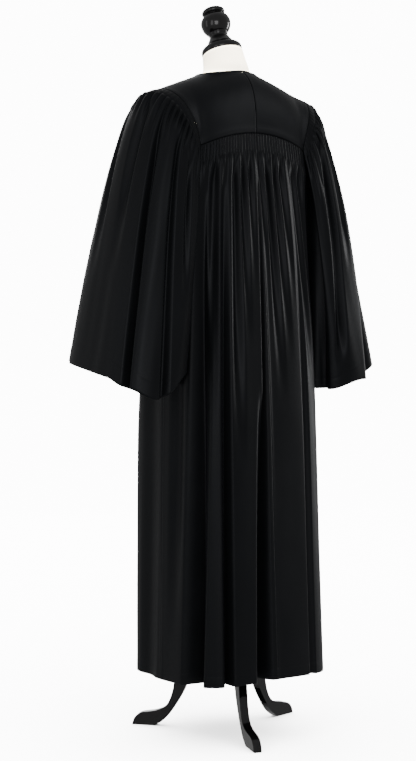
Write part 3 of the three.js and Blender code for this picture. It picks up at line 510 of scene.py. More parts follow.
# A closed cloth shell from a grid of its outer face. A closed grid repeats its first column last.
def shell(name, outer, normals, closed=False, mirror=False):
    inner = outer - normals * CLOTH
    if closed:
        outer, inner = outer[:, :-1], inner[:, :-1]
    rows, cols = outer.shape[:2]
    points = np.concatenate([outer.reshape(-1, 3), inner.reshape(-1, 3)])
    if mirror:
        points = points * np.array([-1, 1, 1])
    points = (points + np.array([0, POLE_Y, 0])) / 1000
    ids = np.arange(rows * cols).reshape(rows, cols)
    nxt = np.roll(ids, -1, axis=1) if closed else ids[:, 1:]
    cur = ids if closed else ids[:, :-1]
    n = rows * cols

    def wall(a, b):
        return np.stack([b, a, a + n, b + n], axis=-1)

    skin = np.stack([cur[:-1], nxt[:-1], nxt[1:], cur[1:]], axis=-1).reshape(-1, 4)
    faces = [skin, skin[:, ::-1] + n, wall(cur[0], nxt[0]), wall(cur[-1], nxt[-1])[:, ::-1]]
    if not closed:
        faces += [wall(ids[:-1, 0], ids[1:, 0])[:, ::-1], wall(ids[:-1, -1], ids[1:, -1])]
    faces = np.concatenate(faces)
    faces = faces if mirror else faces[:, ::-1]
    return make_mesh(name, points, faces.tolist())


def add_object(name, data):
    obj = bpy.data.objects.new(name, data)
    bpy.context.scene.collection.objects.link(obj)
    return obj


def make_mesh(name, points, faces):
    mesh = bpy.data.meshes.new(name)
    mesh.from_pydata([tuple(p) for p in points], [], faces)
    mesh.polygons.foreach_set("use_smooth", [True] * len(mesh.polygons))
    mesh.update()
    return add_object(name, mesh)


def from_bmesh(name, bm):
    mesh = bpy.data.meshes.new(name)
    bm.to_mesh(mesh)
    bm.free()
    return add_object(name, mesh)


def finish_piece(obj, material, slot, *nodes):
    obj.data.materials.append(material)
    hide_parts(*nodes)
    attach(obj, "root")


# Materials
def nodes_of(name, rough):
    material = bpy.data.materials.new(name)
    material.use_nodes = True
    tree = material.node_tree
    shader = tree.nodes["Principled BSDF"]
    shader.inputs["Roughness"].default_value = rough
    shader.inputs["Metallic"].default_value = 0.0
    return material, tree, shader


def mapped(tree, scale):
    coordinates = tree.nodes.new("ShaderNodeTexCoord")
    mapping = tree.nodes.new("ShaderNodeMapping")
    mapping.inputs["Scale"].default_value = scale
    tree.links.new(coordinates.outputs["Object"], mapping.inputs["Vector"])
    return mapping.outputs["Vector"]


def noise(tree, vector, scale, detail=3.0):
    node = tree.nodes.new("ShaderNodeTexNoise")
    node.inputs["Scale"].default_value = scale
    node.inputs["Detail"].default_value = detail
    tree.links.new(vector, node.inputs["Vector"])
    return node.outputs["Fac"]


def ramp(tree, value, low, high, dark, light):
    node = tree.nodes.new("ShaderNodeValToRGB")
    node.color_ramp.elements[0].position = low
    node.color_ramp.elements[1].position = high
    node.color_ramp.elements[0].color = dark
    node.color_ramp.elements[1].color = light
    tree.links.new(value, node.inputs["Fac"])
    return node.outputs["Color"]


def bump(tree, shader, height, strength, distance, before=None):
    node = tree.nodes.new("ShaderNodeBump")
    node.inputs["Strength"].default_value = strength
    node.inputs["Distance"].default_value = distance
    tree.links.new(height, node.inputs["Height"])
    if before is not None:
        tree.links.new(before, node.inputs["Normal"])
    tree.links.new(node.outputs["Normal"], shader.inputs["Normal"])
    return node.outputs["Normal"]


def black_cloth():
    material, tree, shader = nodes_of("robe_cloth", 0.5)
    fine = mapped(tree, (1, 1, 1))
    twill = tree.nodes.new("ShaderNodeTexWave")
    twill.wave_type = "BANDS"
    twill.bands_direction = "DIAGONAL"
    twill.inputs["Scale"].default_value = 420.0
    twill.inputs["Distortion"].default_value = 1.2
    twill.inputs["Detail"].default_value = 1.0
    tree.links.new(fine, twill.inputs["Vector"])
    slub = noise(tree, mapped(tree, (1, 1, 0.12)), 900.0, 2.0)
    cloud = noise(tree, fine, 9.0, 4.0)
    color = ramp(tree, cloud, 0.3, 0.75, (0.0048, 0.0053, 0.0060, 1), (0.0062, 0.0067, 0.0076, 1))
    tree.links.new(color, shader.inputs["Base Color"])
    rough = ramp(tree, cloud, 0.25, 0.8, (0.38, 0.38, 0.38, 1), (0.46, 0.46, 0.46, 1))
    tree.links.new(rough, shader.inputs["Roughness"])
    shader.inputs["Specular IOR Level"].default_value = 0.12
    shader.inputs["Specular Tint"].default_value = (0.91, 0.935, 1.0, 1)
    shader.inputs["Sheen Weight"].default_value = 0.01
    shader.inputs["Sheen Roughness"].default_value = 0.45
    shader.inputs["Sheen Tint"].default_value = (0.8, 0.84, 1.0, 1)
    first = bump(tree, shader, twill.outputs["Fac"], 0.25, 0.0002)
    bump(tree, shader, slub, 0.22, 0.0002, first)
    return material


def ivory_cloth():
    material, tree, shader = nodes_of("form_cloth", 0.85)
    fine = mapped(tree, (1, 1, 1))
    weave = noise(tree, fine, 1500.0, 1.0)
    cloud = noise(tree, fine, 14.0, 3.0)
    color = ramp(tree, cloud, 0.3, 0.8, (0.90, 0.79, 0.58, 1), (0.95, 0.86, 0.67, 1))
    tree.links.new(color, shader.inputs["Base Color"])
    shader.inputs["Sheen Weight"].default_value = 0.15
    bump(tree, shader, weave, 0.3, 0.0003)
    return material


def black_lacquer():
    material, tree, shader = nodes_of("black_wood", 0.18)
    grain = noise(tree, mapped(tree, (1, 1, 0.1)), 160.0, 4.0)
    cloud = noise(tree, mapped(tree, (1, 1, 1)), 30.0, 3.0)
    color = ramp(tree, grain, 0.35, 0.75, (0.0035, 0.0035, 0.004, 1), (0.0065, 0.0062, 0.0062, 1))
    tree.links.new(color, shader.inputs["Base Color"])
    rough = ramp(tree, cloud, 0.3, 0.8, (0.14, 0.14, 0.14, 1), (0.24, 0.24, 0.24, 1))
    tree.links.new(rough, shader.inputs["Roughness"])
    shader.inputs["Specular IOR Level"].default_value = 0.3
    shader.inputs["Coat Weight"].default_value = 0.35
    shader.inputs["Coat Roughness"].default_value = 0.08
    bump(tree, shader, grain, 0.08, 0.0004)
    return material


CLOTH_LOOK = black_cloth()
FORM_LOOK = ivory_cloth()
WOOD_LOOK = black_lacquer()


# Yoke halves: rows from the neckline outwards and columns from the centre back to the centre front,
# closest together beside the seams
def yoke_rows():
    inner = np.linspace(0, 0.86, 16)
    return np.concatenate([(0.0, 0.012), inner[1:], YOKE_EDGE_ROWS])


def yoke_columns():
    back = [YOKE_CENTRE_COLUMNS, np.linspace(0.03, 0.29, 24), TURN_BACK + YOKE_CORNER_STEPS]
    side = [np.linspace(0.315, 0.705, 36), TURN_FRONT + YOKE_CORNER_STEPS]
    front = [np.linspace(0.735, 0.98, 20), YOKE_FRONT_COLUMNS]
    return np.concatenate(back + side + front)


# A rolled lip along the seams, a narrow groove down the centre back and a little sag between
def make_yoke(name, mirror, seed):
    share, out = np.meshgrid(yoke_columns(), yoke_rows())
    p = yoke_point(share, out)
    normals = grid_normals(p)
    edge = (1 - out) * YOKE_WIDE
    lip = YOKE_LIP["high"] * smooth((YOKE_LIP["wide"] - edge) / YOKE_LIP["soft"]) * smooth((edge + 0.4) / 2.0)
    centre = np.abs(p[..., 0])
    beside = CENTRE_SEAM["lip"] * line_at(centre - CENTRE_SEAM["lip_at"], CENTRE_SEAM["lip_wide"])
    groove = CENTRE_SEAM["deep"] * (1 - smooth((centre - CENTRE_SEAM["half"]) / CENTRE_SEAM["soft"]))
    sag = YOKE_SAG["high"] * drift(p[..., 0] / YOKE_SAG["wide"], p[..., 2] / YOKE_SAG["long"], seed)
    lift = lip + (beside - groove) * (p[..., 1] > 0) + sag * smooth(edge / YOKE_SAG["long"])
    q = p + normals * lift[..., None]
    return shell(name, q, grid_normals(q), mirror=mirror)


yoke_left = make_yoke("cloth_yoke_left", False, 3)
yoke_right = make_yoke("cloth_yoke_right", True, 4)
finish_piece(yoke_left, CLOTH_LOOK, "robe_cloth", "yoke_left")
finish_piece(yoke_right, CLOTH_LOOK, "robe_cloth", "yoke_right")


# Pressed pleats: round ridges and narrow valleys, uneven from pleat to pleat
def pleat(share, count, seed):
    rng = np.random.default_rng(seed)
    warp = share + 0.25 / count * np.sin(share * 19 + seed) * 0.5
    turn = warp * count
    which = np.clip(np.floor(turn).astype(int), 0, count - 1)
    size = rng.uniform(0.75, 1.15, count)[which]
    reach = rng.uniform(0.0, 1.0, count)[which]
    ridge = np.abs(np.sin(np.pi * turn)) ** 0.8
    return (ridge * 2 - 1.15) * size, reach


# Where a panel's pleats begin in the middle of the robe; in front the placket covers a plain strip
def pleats_begin(centre, left, back):
    if back:
        return centre
    depth = float(body_value("front", np.array(SEAM_Z)))
    clear = math.degrees(math.atan2(PLACKET["clear"], depth))
    return centre - clear if left else centre + clear


def panel_angles(low, high, left, back):
    centre, side_end = (low, high) if left == back else (high, low)
    middle = pleats_begin(centre, left, back)
    corner = (CORNER_ANGLE if back else 180 - CORNER_ANGLE) * (1 if left else -1)
    fine = np.linspace(middle, corner, 400)
    points = envelope(fine, np.full(400, SEAM_Z - 30))
    sums = np.concatenate([[0], np.cumsum(np.linalg.norm(np.diff(points, axis=0), axis=1))])
    count = FLUTE["back"] if back else FLUTE["front"]
    steps = count * PLEAT_STEPS + 1
    pleated = np.interp(np.linspace(0, sums[-1], steps), sums, fine)
    plain = np.linspace(corner, side_end, PLAIN_STEPS + 1)[1:]
    angles = np.concatenate([pleated, plain])
    shares = np.concatenate([np.linspace(0, 1, steps), np.ones(PLAIN_STEPS)])
    if not back:
        flat = np.linspace(centre, middle, PLACKET_STEPS + 1)[:-1]
        angles = np.concatenate([flat, angles])
        shares = np.concatenate([np.zeros(PLACKET_STEPS), shares])
    order = np.argsort(angles)
    angles, shares = angles[order], shares[order]
    # closer columns beside the seams
    extra = np.concatenate([low + SEAM_STEPS, high - SEAM_STEPS])
    whole = np.unique(np.concatenate([angles, extra]))
    whole = whole[np.concatenate([[True], np.diff(whole) > 0.02])]
    whole[0], whole[-1] = low, high
    return whole, np.interp(whole, angles, shares), count


# Heights of a panel's rows; the first ones lie under the yoke and the sleeve
def panel_rows(top, hem):
    band = np.linspace(0, FLUTE["band"], 15)
    release = np.linspace(47, 130, 16)
    downs = np.concatenate([ROWS_UNDER_EDGE, band[1:], release])
    rest = np.linspace(0, 1, 74)[1:] ** 1.06
    rows = [top - d for d in downs]
    rows += [lerp(top - downs[-1], hem + HEM_ROWS_FROM, r) for r in rest]
    rows += [hem + d for d in ROWS_ABOVE_HEM]
    return np.stack(rows)


# Rises from 0 to 1 over a stretch
def beginning(down, begins):
    return smooth((down - begins["at"]) / begins["over"])


# Falls from 1 to 0 over a stretch that differs from pleat to pleat
def ending(down, ends, reach):
    return 1 - smooth((down - ends["at"]) / (ends["least"] + ends["more"] * reach))


# The pressed band and the fewer, rounder pleats just under it
def panel_pleats(shares, below, count, puffs, seed):
    wave, reach = pleat(shares, count, seed)
    fading = smooth(below / 1.5) * ending(below, BAND_ENDS, reach)
    pressed = FLUTE["depth"] * wave * (0.55 + 0.45 * smooth(below / 6)) * fading
    puff, puff_reach = pleat(shares, puffs, seed + 5)
    let_go = beginning(below, PUFFS_BEGIN) * ending(below, PUFFS_END, puff_reach)
    released = RELEASED["depth"] * (puff + 0.5) * let_go
    inside = (shares > 0) & (shares < 1)
    return (pressed + released) * inside


def panel_wave(kind, angle, z, below, seed, octaves=3):
    high, wide, long, coming_in = PANEL_WAVES[kind]
    arc = np.radians(angle) * PANEL_RADIUS["waves"]
    return high * drift(arc / wide, z / long, seed, octaves) * smooth(below / coming_in)


# Small uneven folds, calmer further down and at the side seams
def panel_unevenness(angle, z, below, aside, seed):
    further = np.clip((below - PANEL_CALM["from"]) / PANEL_CALM["over"], 0, 1)
    fold = panel_wave("fold", angle, z, below, seed, 2) * (1 - PANEL_CALM["share"] * further)
    broad = panel_wave("broad", angle, z, below, seed + 20)
    ripple = panel_wave("ripple", angle, z, below, seed + 40, 2)
    return (fold + broad + ripple) * smooth(aside / 3.0)


# A lip and a groove along the side seams, softer below the band
def panel_seams(aside, below):
    beside = np.radians(aside) * PANEL_RADIUS["seams"]
    lip = SIDE_SEAM["lip"] * line_at(beside - SIDE_SEAM["lip_at"], SIDE_SEAM["lip_wide"])
    groove = SIDE_SEAM["deep"] * line_at(beside, SIDE_SEAM["wide"])
    softer = smooth((below - SIDE_SEAM_SOFTER["from"]) / SIDE_SEAM_SOFTER["over"])
    return (lip - groove) * (1 - SIDE_SEAM_SOFTER["share"] * softer)


# The second layer of a turned-up hem and its stitch line
def panel_hem_relief(above):
    layer = HEM_RELIEF["up"] * smooth((HEM_FOLD + 2 - above) / 2)
    return layer - HEM_RELIEF["line"] * line_at(above - HEM_FOLD, HEM_RELIEF["wide"])


def make_panel(name, low, high, seed):
    back = "back" in name
    left = name.endswith("left")
    angles, shares, count = panel_angles(low, high, left, back)
    top, hem = body_top(angles), body_hem(angles)
    z = panel_rows(top, hem)
    angle = np.broadcast_to(angles, z.shape)
    p = body_point(angle, z)
    normals = grid_normals(p)
    below = top[None, :] - z
    aside = np.minimum(np.abs(angle - low), np.abs(angle - high))
    puffs = RELEASED["back" if back else "front"]
    lift = panel_pleats(shares, below, count, puffs, seed)
    lift = lift + panel_unevenness(angle, z, below, aside, seed)
    lift = lift - EDGE_TUCK * (1 - smooth((below + 0.6) / 2.0))
    lift = lift + panel_seams(aside, below) + panel_hem_relief(z - hem)
    q = p + normals * lift[..., None]
    return shell(name, q, grid_normals(q))


for node, low, high, seed in PANELS:
    panel = make_panel("cloth_" + node, low, high, seed)
    finish_piece(panel, CLOTH_LOOK, "robe_cloth", node)


# Sleeves, made on the wearer's left. A place round the armhole runs from 0 at the underarm over 0.5 on
# the shoulder to 1; both halves are alike, so it is folded to 0 to 0.5 with a sign for the back
def folded(round_):
    front = round_ > 0.5
    return np.where(front, 1 - round_, round_), np.where(front, -1.0, 1.0)


def armhole_angle(round_):
    place, sign = folded(round_)
    turn = lerp(90, CORNER_ANGLE, np.minimum(CORNER_SHARE, place) / CORNER_SHARE)
    return np.where(sign < 0, 180 - turn, turn)


def armhole_point(round_):
    place, sign = folded(round_)
    tau = sign * (1 - np.clip((place - CORNER_SHARE) / (0.5 - CORNER_SHARE), 0, 1))
    tau = np.where(np.abs(tau) < 1e-6, 1e-6, tau)
    upper = chart_point(armhole_x(tau), tau)
    angle = armhole_angle(round_)
    lower = envelope(angle, body_top(angle) + SEAM_GAP)
    return np.where((place >= CORNER_SHARE)[..., None], upper, lower)


def sleeve_start(round_):
    p = armhole_point(round_)
    place, sign = folded(round_)
    upper = smooth((place - CORNER_SHARE * 0.86) / 0.05)[..., None]
    outward = envelope_outward(armhole_angle(round_), p[..., 2])
    away = unit(join(0.86, 0.3 * sign * np.cos(place * np.pi), -0.35))
    return p + outward * (1 - upper) * 1.1 + away * upper * 0.75


def hem_loop():
    t = np.linspace(0, 1, 721)
    c, s = np.cos(t * 2 * np.pi), np.sin(t * 2 * np.pi)
    k = SLEEVE["square"]
    r = ((np.abs(c) / SLEEVE["half"]) ** k + (np.abs(s) / SLEEVE["deep"]) ** k) ** (-1 / k)
    x, y = SLEEVE["x"] - r * c, SLEEVE["y"] + r * s
    sums = np.concatenate([[0], np.cumsum(np.hypot(np.diff(x), np.diff(y)))])
    return x, y, sums / sums[-1]


HEM_X, HEM_Y, HEM_SHARE = hem_loop()


def sleeve_hem(round_, hem):
    x = np.interp(round_, HEM_SHARE, HEM_X)
    y = np.interp(round_, HEM_SHARE, HEM_Y)
    to_front = -SLEEVE["front"] * (y - SLEEVE["y"]) / SLEEVE["deep"]
    to_outside = SLEEVE["outer"] * (x - SLEEVE["x"]) / SLEEVE["half"]
    slope = to_front + to_outside
    lift = sum(high * bell((round_ - at) / wide) for at, wide, high in hem["lifts"])
    reach = hem["reach"] * (x - SLEEVE["x"] + SLEEVE["half"]) / (2 * SLEEVE["half"])
    return join(x + reach, y, SLEEVE["z"] + slope + lift)


def handles(round_):
    table = np.array(SLEEVE_LINES)
    i = np.clip(np.searchsorted(table[:, 0], round_, side="left"), 1, len(table) - 1)
    a, b = table[i - 1], table[i]
    t = smooth((round_ - a[..., 0]) / (b[..., 0] - a[..., 0]))[..., None]
    mixed = lerp(a, b, t)
    return mixed[..., 1:4], mixed[..., 4:7]


def sleeve_base(round_, down, hem):
    r = round_ % 1.0
    leave, arrive = handles(r)
    p0, p3 = sleeve_start(r), sleeve_hem(r, hem)
    p1, p2 = p0 + leave, p3 + arrive
    t = down[..., None]
    return p0 * (1 - t) ** 3 + 3 * p1 * t * (1 - t) ** 2 + 3 * p2 * t * t * (1 - t) + p3 * t**3


# Places round a sleeve and their shares of the pleated stretch, which is all but the underarm
def sleeve_rounds():
    start = CORNER_SHARE + 0.02
    steps = FLUTE["sleeve"] * SLEEVE_PLEAT_STEPS + 1
    pleated = np.linspace(start, 1 - start, steps)
    lower = np.linspace(1 - start, 1 + start, UNDERARM_STEPS + 1)[1:]
    shares = np.concatenate([np.linspace(0, 1, steps), np.ones(UNDERARM_STEPS)])
    return np.concatenate([pleated, lower]), shares


def sleeve_downs():
    gathers = [(0, 0.002), np.linspace(0.008, 0.1, 16), np.linspace(0.11, 0.24, 16)]
    rest = [np.linspace(0.25, 0.94, 58), SLEEVE_HEM_ROWS, np.linspace(0.966, 1.0, 5)]
    return np.concatenate(gathers + rest)


def sleeve_trough(round_, down, troughs):
    depth = np.zeros(round_.shape)
    for at, to, begin, until, wide, wide_hem, deep in troughs:
        off = (round_ % 1.0 - lerp(at, to, down)) * lerp(ARMHOLE_ROUND, SLEEVE_ROUND, down)
        end = SLEEVE_FADE["near_hem" if 0.9 < until < 1 else "out"]
        fading = smooth((down - begin) / SLEEVE_FADE["in"])
        fading = fading * (down**0.5 if until > 1.5 else smooth((until - down) / end))
        depth += deep * fading * bell(off / lerp(wide, wide_hem, down))
    return depth


# A nearly plain strip at the armhole with faint pressed pleats, then gathers
def sleeve_gathers(shares, down, seed):
    wave, reach = pleat(shares, FLUTE["sleeve"], seed)
    fading = smooth(down / 0.003) * ending(down, SLEEVE_BAND_ENDS, reach)
    pressed = SLEEVE_STRIP["pleats"] * FLUTE["depth"] * wave * fading
    puff, puff_reach = pleat(shares, RELEASED["sleeve"], seed + 5)
    let_go = beginning(down, GATHERS_BEGIN) * ending(down, GATHERS_END, puff_reach)
    gathers = RELEASED["sleeve_depth"] * (puff + 0.3) * let_go
    inside = (shares > 0) & (shares < 1)
    strip = SLEEVE_STRIP["high"] * smooth((SLEEVE_STRIP["until"] - down) / 0.01) * smooth(down / 0.006)
    return (pressed + gathers) * inside + strip


def inner_folds(round_, down):
    fading = smooth((down - 0.12) / 0.3) * smooth((1.05 - down) / 0.4)
    lift = 0.0
    for at, wide, high in INNER_FOLDS:
        lift = lift + high * bell((round_ - at - 0.03 * (1 - down)) / wide) * fading
    return lift


# Small folds in rings round the sleeve, calmer on its outer face
def sleeve_unevenness(round_, down, seed):
    rings = []
    for count, shift, high in SLEEVE_RINGS:
        phase = seed * shift
        swing = 1.4 * np.sin(down * 5.1 + phase * 2.3)
        rings.append(high * np.sin(count * 2 * np.pi * round_ + phase + swing))
    fold = rings[0] + rings[1] * np.sin(down * 7 + seed) + rings[2] * smooth((down - 0.2) / 0.4)
    outer = bell((round_ - 0.56) / 0.2)
    return fold * smooth((down - 0.08) / 0.2) * (1 - 0.7 * outer) * SLEEVE_CALM


def sleeve_hem_relief(down):
    layer = HEM_RELIEF["up"] * smooth((down - SLEEVE_FOLD) / 0.004)
    return layer - HEM_RELIEF["line"] * line_at(down - SLEEVE_FOLD, SLEEVE_FOLD_WIDE)


def make_sleeve(name, troughs, hem, mirror, seed):
    rounds, shares = sleeve_rounds()
    round_, down = np.meshgrid(rounds, sleeve_downs())
    base = sleeve_base(round_, down, hem)
    p = base - grid_normals(base, closed=True) * sleeve_trough(round_, down, troughs)[..., None]
    normals = grid_normals(p, closed=True)
    lift = sleeve_gathers(shares, down, seed) + inner_folds(round_, down)
    lift = lift + sleeve_unevenness(round_, down, seed) + sleeve_hem_relief(down)
    q = p + normals * lift[..., None]
    q[:, -1] = q[:, 0]
    normals = grid_normals(q, closed=True)
    normals[:, -1] = normals[:, 0]
    # a hidden edge that lies under the yoke and the body, so that the armhole is closed
    reach = unit(q[:1] - q[2:3]) * SLEEVE_UNDER["reach"]
    under = q[:1] - normals[:1] * SLEEVE_UNDER["below"] + reach
    q = np.concatenate([under, q])
    normals = np.concatenate([normals[:1], normals])
    return shell(name, q, normals, closed=True, mirror=mirror)


sleeve_left = make_sleeve("cloth_sleeve_left", LEFT_SLEEVE, LEFT_HEM, False, 21)
sleeve_right = make_sleeve("cloth_sleeve_right", RIGHT_SLEEVE, RIGHT_HEM, True, 22)
finish_piece(sleeve_left, CLOTH_LOOK, "robe_cloth", "sleeve_left")
finish_piece(sleeve_right, CLOTH_LOOK, "robe_cloth", "sleeve_right")


# Front placket
def placket_point(across, z):
    x = (across - 0.5) * PLACKET["width"]
    foot = seam_z(x)
    low = body_point(180 - np.degrees(np.arctan2(x, body_value("front", z))), z)
    top = RIDGE["top"]
    share = np.clip((z - foot) / (top - foot), 0, 1)
    alpha = np.degrees(np.arccos(share ** (1 / ARCH["rise"])))
    high = chart_point(x, -np.maximum(tau_of(alpha), 1e-4))
    return np.where((z <= foot)[..., None], low, high)


def make_placket(name):
    neck_tau = neckline(np.array(1.0))[1]
    neck_point = float(chart_point(np.array(0.0), neck_tau)[2])
    zs = np.concatenate([[neck_point - 3, neck_point - 4.5], np.linspace(neck_point - 8, HEM_Z + 8, 190)])
    zs = np.concatenate([zs, [HEM_Z + 2.5, HEM_Z + 0.5]])
    acrosses = np.concatenate([[1, 0.975], np.linspace(0.95, 0.05, 14), [0.025, 0]])
    across, z = np.meshgrid(acrosses, zs)
    p = placket_point(across, z)
    normals = grid_normals(p)
    edge = np.minimum(across, 1 - across) * PLACKET["width"]
    stitch = STITCH["deep"] * line_at(edge - STITCH["from_edge"], STITCH["wide"])
    lift = PLACKET["lift"] - stitch + 0.35 * drift(across * 4, z / 60, 31)
    q = p + normals * lift[..., None]
    return shell(name, q, grid_normals(q))


placket = make_placket("cloth_front_placket")
finish_piece(placket, CLOTH_LOOK, "robe_cloth", "front_placket")


# Neck binding: a small roll round the neckline
def make_binding(name):
    steps, sides, radius = BINDING["steps"], BINDING["sides"], BINDING["radius"]
    turns = np.linspace(0, 1, steps + 1)[:-1]
    share = np.clip(np.where(turns <= 0.5, turns * 2, 2 - turns * 2), 0.004, 0.994)
    edge = yoke_point(share, np.zeros(steps))
    along = yoke_point(share + 0.003, np.zeros(steps)) - edge
    across = yoke_point(share, np.full(steps, 0.03)) - yoke_point(share, np.full(steps, 0.01))
    outward = unit(np.cross(along, across))
    inwards = unit(np.cross(along, outward))
    centre = edge + inwards * BINDING["inside"]
    middle = turns == 0.5
    centre[middle, 0] = 0
    centre[middle, 2] += BINDING["front_rise"]
    flip = np.where(turns > 0.5, -1.0, 1.0)[:, None]
    rings = []
    for k in range(sides):
        a = k / sides * 2 * np.pi
        ring = centre + inwards * radius * np.cos(a) + outward * radius * np.sin(a)
        rings.append(np.concatenate([ring[:, :1] * flip, ring[:, 1:]], axis=1))
    points = (np.stack(rings, axis=1).reshape(-1, 3) + np.array([0, POLE_Y, 0])) / 1000
    faces = []
    for i in range(steps):
        here, there = i * sides, (i + 1) % steps * sides
        for k in range(sides):
            n = (k + 1) % sides
            faces.append((here + k, there + k, there + n, here + n))
    return make_mesh(name, points, faces)


binding = make_binding("cloth_neck_binding")
finish_piece(binding, CLOTH_LOOK, "robe_cloth", "neck_binding")


# Dress form: smooth rings, closer together than the solid's
def make_form(name):
    rings = np.array(TORSO, float)
    knots = np.arange(len(rings))
    fine = np.linspace(0, len(rings) - 1, RING_STEPS * (len(rings) - 1) + 1)
    table = np.stack([np.interp(fine, knots, rings[:, i]) for i in range(5)], axis=1)
    for _ in range(2):
        table[1:-1] = (table[:-2] + 2 * table[1:-1] + table[2:]) / 4
    turn = np.linspace(0, 2 * np.pi, FORM_SIDES + 1)[:-1]
    points = []
    for z, half, deep, lean, tilt in table:
        y = deep * np.sin(turn)
        tilt = math.radians(tilt)
        points.append(join(half * np.cos(turn), y * math.cos(tilt) - lean, z + y * math.sin(tilt)))
    grid = np.stack(points)
    rows, sides = grid.shape[:2]
    faces = []
    for i in range(rows - 1):
        for k in range(sides):
            n = (k + 1) % sides
            faces.append((i * sides + k, (i + 1) * sides + k, (i + 1) * sides + n, i * sides + n))
    faces.append(tuple(range(sides)))
    faces.append(tuple((rows - 1) * sides + k for k in reversed(range(sides))))
    obj = make_mesh(name, (grid.reshape(-1, 3) + np.array([0, POLE_Y, 0])) / 1000, faces)
    flat = [len(p.vertices) <= 4 for p in obj.data.polygons]
    obj.data.polygons.foreach_set("use_smooth", flat)
    return obj


form = make_form("form_body")
finish_piece(form, FORM_LOOK, "form_cloth", "dress_form")
# its glow isn't seen in the black cloth
form.visible_diffuse = False
form.visible_glossy = False


# Turned wood: a smooth profile turned round an axis
def turned(name, profile, sides, rounds):
    points = [Vector(p) for p in profile]
    for _ in range(rounds):
        cut = [points[0]]
        for a, b in zip(points[:-1], points[1:]):
            cut += [a.lerp(b, 0.25), a.lerp(b, 0.75)]
        points = cut + [points[-1]]
    bm = bmesh.new()
    line = [bm.verts.new((p.x / 1000, 0, p.y / 1000)) for p in points]
    edges = [bm.edges.new((a, b)) for a, b in zip(line[:-1], line[1:])]
    around = {"cent": (0, 0, 0), "axis": (0, 0, 1), "angle": 2 * math.pi, "steps": sides}
    bmesh.ops.spin(bm, geom=line + edges, use_duplicate=False, **around)
    bmesh.ops.remove_doubles(bm, verts=bm.verts, dist=1e-6)
    bmesh.ops.dissolve_degenerate(bm, dist=1e-7, edges=bm.edges)
    bmesh.ops.recalc_face_normals(bm, faces=bm.faces)
    for face in bm.faces:
        face.smooth = True
    return from_bmesh(name, bm)


for node, (profile, sides, rounds, place, tilt, flat) in TURNED.items():
    piece = turned("wood_" + node, profile, sides, rounds)
    piece.location = [c / 1000 for c in place]
    piece.rotation_euler = (math.radians(tilt), 0, 0)
    piece.scale = (1, flat, 1)
    finish_piece(piece, WOOD_LOOK, "black_wood", node)


# Legs: a curved board's outline, thickened, with rounded edges
def curve_through(points, parts):
    out = []
    for i in range(len(points) - 1):
        p0, p1 = points[max(0, i - 1)], points[i]
        p2, p3 = points[i + 1], points[min(len(points) - 1, i + 2)]
        for k in range(parts):
            t = k / parts
            pair = []
            for a, b, c, d in zip(p0, p1, p2, p3):
                v0, v1 = (c - a) / 2, (d - b) / 2
                cubic = 2 * b - 2 * c + v0 + v1
                square = -3 * b + 3 * c - 2 * v0 - v1
                pair.append(cubic * t**3 + square * t**2 + v0 * t + b)
            out.append(tuple(pair))
    return out + [points[-1]]


def make_leg(name, degrees):
    outline = curve_through(LEG_TOP_EDGE, CURVE_STEPS) + curve_through(LEG_LOWER_EDGE, CURVE_STEPS)
    bm = bmesh.new()
    a = math.radians(degrees)
    out, side = Vector((math.cos(a), math.sin(a), 0)), Vector((-math.sin(a), math.cos(a), 0))
    loops = []
    for sign in (-1, 1):
        face_at = side * (sign * LEG_HALF / 1000)
        loop = []
        for r, z in outline:
            raised = Vector((0, POLE_Y / 1000, max(z, 0) / 1000))
            loop.append(bm.verts.new(out * (r / 1000) + face_at + raised))
        loops.append(loop)
    n = len(outline)
    flats = [bm.faces.new(loops[0]), bm.faces.new(list(reversed(loops[1])))]
    for i in range(n):
        j = (i + 1) % n
        bm.faces.new((loops[0][j], loops[0][i], loops[1][i], loops[1][j]))
    rim = [e for face in flats for e in face.edges]
    bmesh.ops.bevel(
        bm, geom=list(set(rim)), offset=LEG_ROUND / 1000, segments=4, profile=0.5, affect="EDGES"
    )
    bmesh.ops.recalc_face_normals(bm, faces=bm.faces)
    for face in bm.faces:
        face.smooth = len(face.verts) <= 4
    return from_bmesh(name, bm)


for node, degrees in LEG_TURNS.items():
    finish_piece(make_leg("wood_" + node, degrees), WOOD_LOOK, "black_wood", node)


# Floor
def floor_look():
    material, _, shader = nodes_of("floor_pale", 1.0)
    shader.inputs["Base Color"].default_value = (FLOOR_PALE, FLOOR_PALE, FLOOR_PALE, 1)
    return material


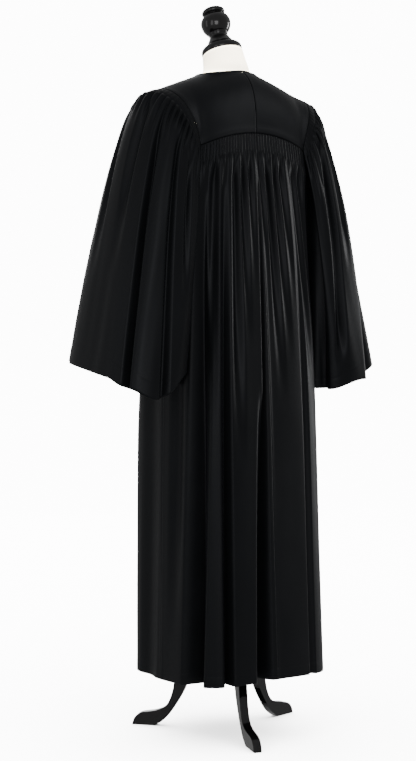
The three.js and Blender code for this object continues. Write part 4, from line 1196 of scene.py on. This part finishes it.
corners = [(x * FLOOR_REACH, y * FLOOR_REACH, 0) for x, y in ((-1, -1), (1, -1), (1, 1), (-1, 1))]
floor = make_mesh("floor", corners, [(0, 1, 2, 3)])
floor.data.materials.append(floor_look())
floor.visible_diffuse = False
floor.visible_glossy = False
floor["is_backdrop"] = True

# Backdrop: bright for the camera, soft for the light that it gives
world = bpy.data.worlds.new("studio")
bpy.context.scene.world = world
world.use_nodes = True
background = world.node_tree.nodes["Background"]
background.inputs["Color"].default_value = (1.0, 1.0, 1.0, 1)
seen = world.node_tree.nodes.new("ShaderNodeLightPath")
strength = world.node_tree.nodes.new("ShaderNodeMapRange")
strength.inputs["To Min"].default_value = AMBIENT
strength.inputs["To Max"].default_value = BACKDROP
world.node_tree.links.new(seen.outputs["Is Camera Ray"], strength.inputs["Value"])
world.node_tree.links.new(strength.outputs["Result"], background.inputs["Strength"])


# Lights
def area_light(name, along, right, height, aim, size, power):
    light = bpy.data.lights.new(name, "AREA")
    light.shape = "RECTANGLE"
    light.size, light.size_y = size
    light.energy = power
    obj = add_object(name, light)
    obj.location = TO_CAMERA * along + TO_RIGHT * right + Vector((0, 0, height))
    target = Vector((0, POLE_Y / 1000, aim))
    obj.rotation_euler = (target - obj.location).to_track_quat("-Z", "Y").to_euler()
    return obj


# A light that reaches some objects alone, as a studio flag does
def light_only(light, name, objects):
    receivers = bpy.data.collections.new(name)
    for obj in objects:
        receivers.objects.link(obj)
    light.light_linking.receiver_collection = receivers


lights = {name: area_light(name, *row) for name, row in LIGHTS.items()}
by_key = [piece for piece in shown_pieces() if piece not in (yoke_right, sleeve_left)]
light_only(lights["key_right"], "lit_by_key", by_key)
light_only(lights["high_back"], "lit_from_above", (yoke_left, yoke_right))

# A wide light for the floor and the form alone, so that they stay as pale as the backdrop
wash = bpy.data.lights.new("floor_wash", "SUN")
wash.energy = BACKDROP * math.pi / FLOOR_PALE
wash.angle = WASH_ANGLE
wash_object = add_object("floor_wash", wash)
wash_object.location = (0, 0, 5)
light_only(wash_object, "floor_only", (floor, form))

# Camera
camera = bpy.data.cameras.new("camera")
camera.lens = CAMERA_LENS
camera.sensor_width = 36.0
camera.sensor_fit = "AUTO"
camera.clip_end = 100
camera_object = add_object("camera", camera)
camera_object.location = TO_CAMERA * CAMERA_AWAY + Vector((0, POLE_Y / 1000, CAMERA_HEIGHT))
aim = -TO_CAMERA - TO_RIGHT * math.tan(CAMERA_YAW) + Vector((0, 0, -math.tan(CAMERA_PITCH)))
camera_object.rotation_euler = aim.to_track_quat("-Z", "Y").to_euler()
bpy.context.scene.camera = camera_object
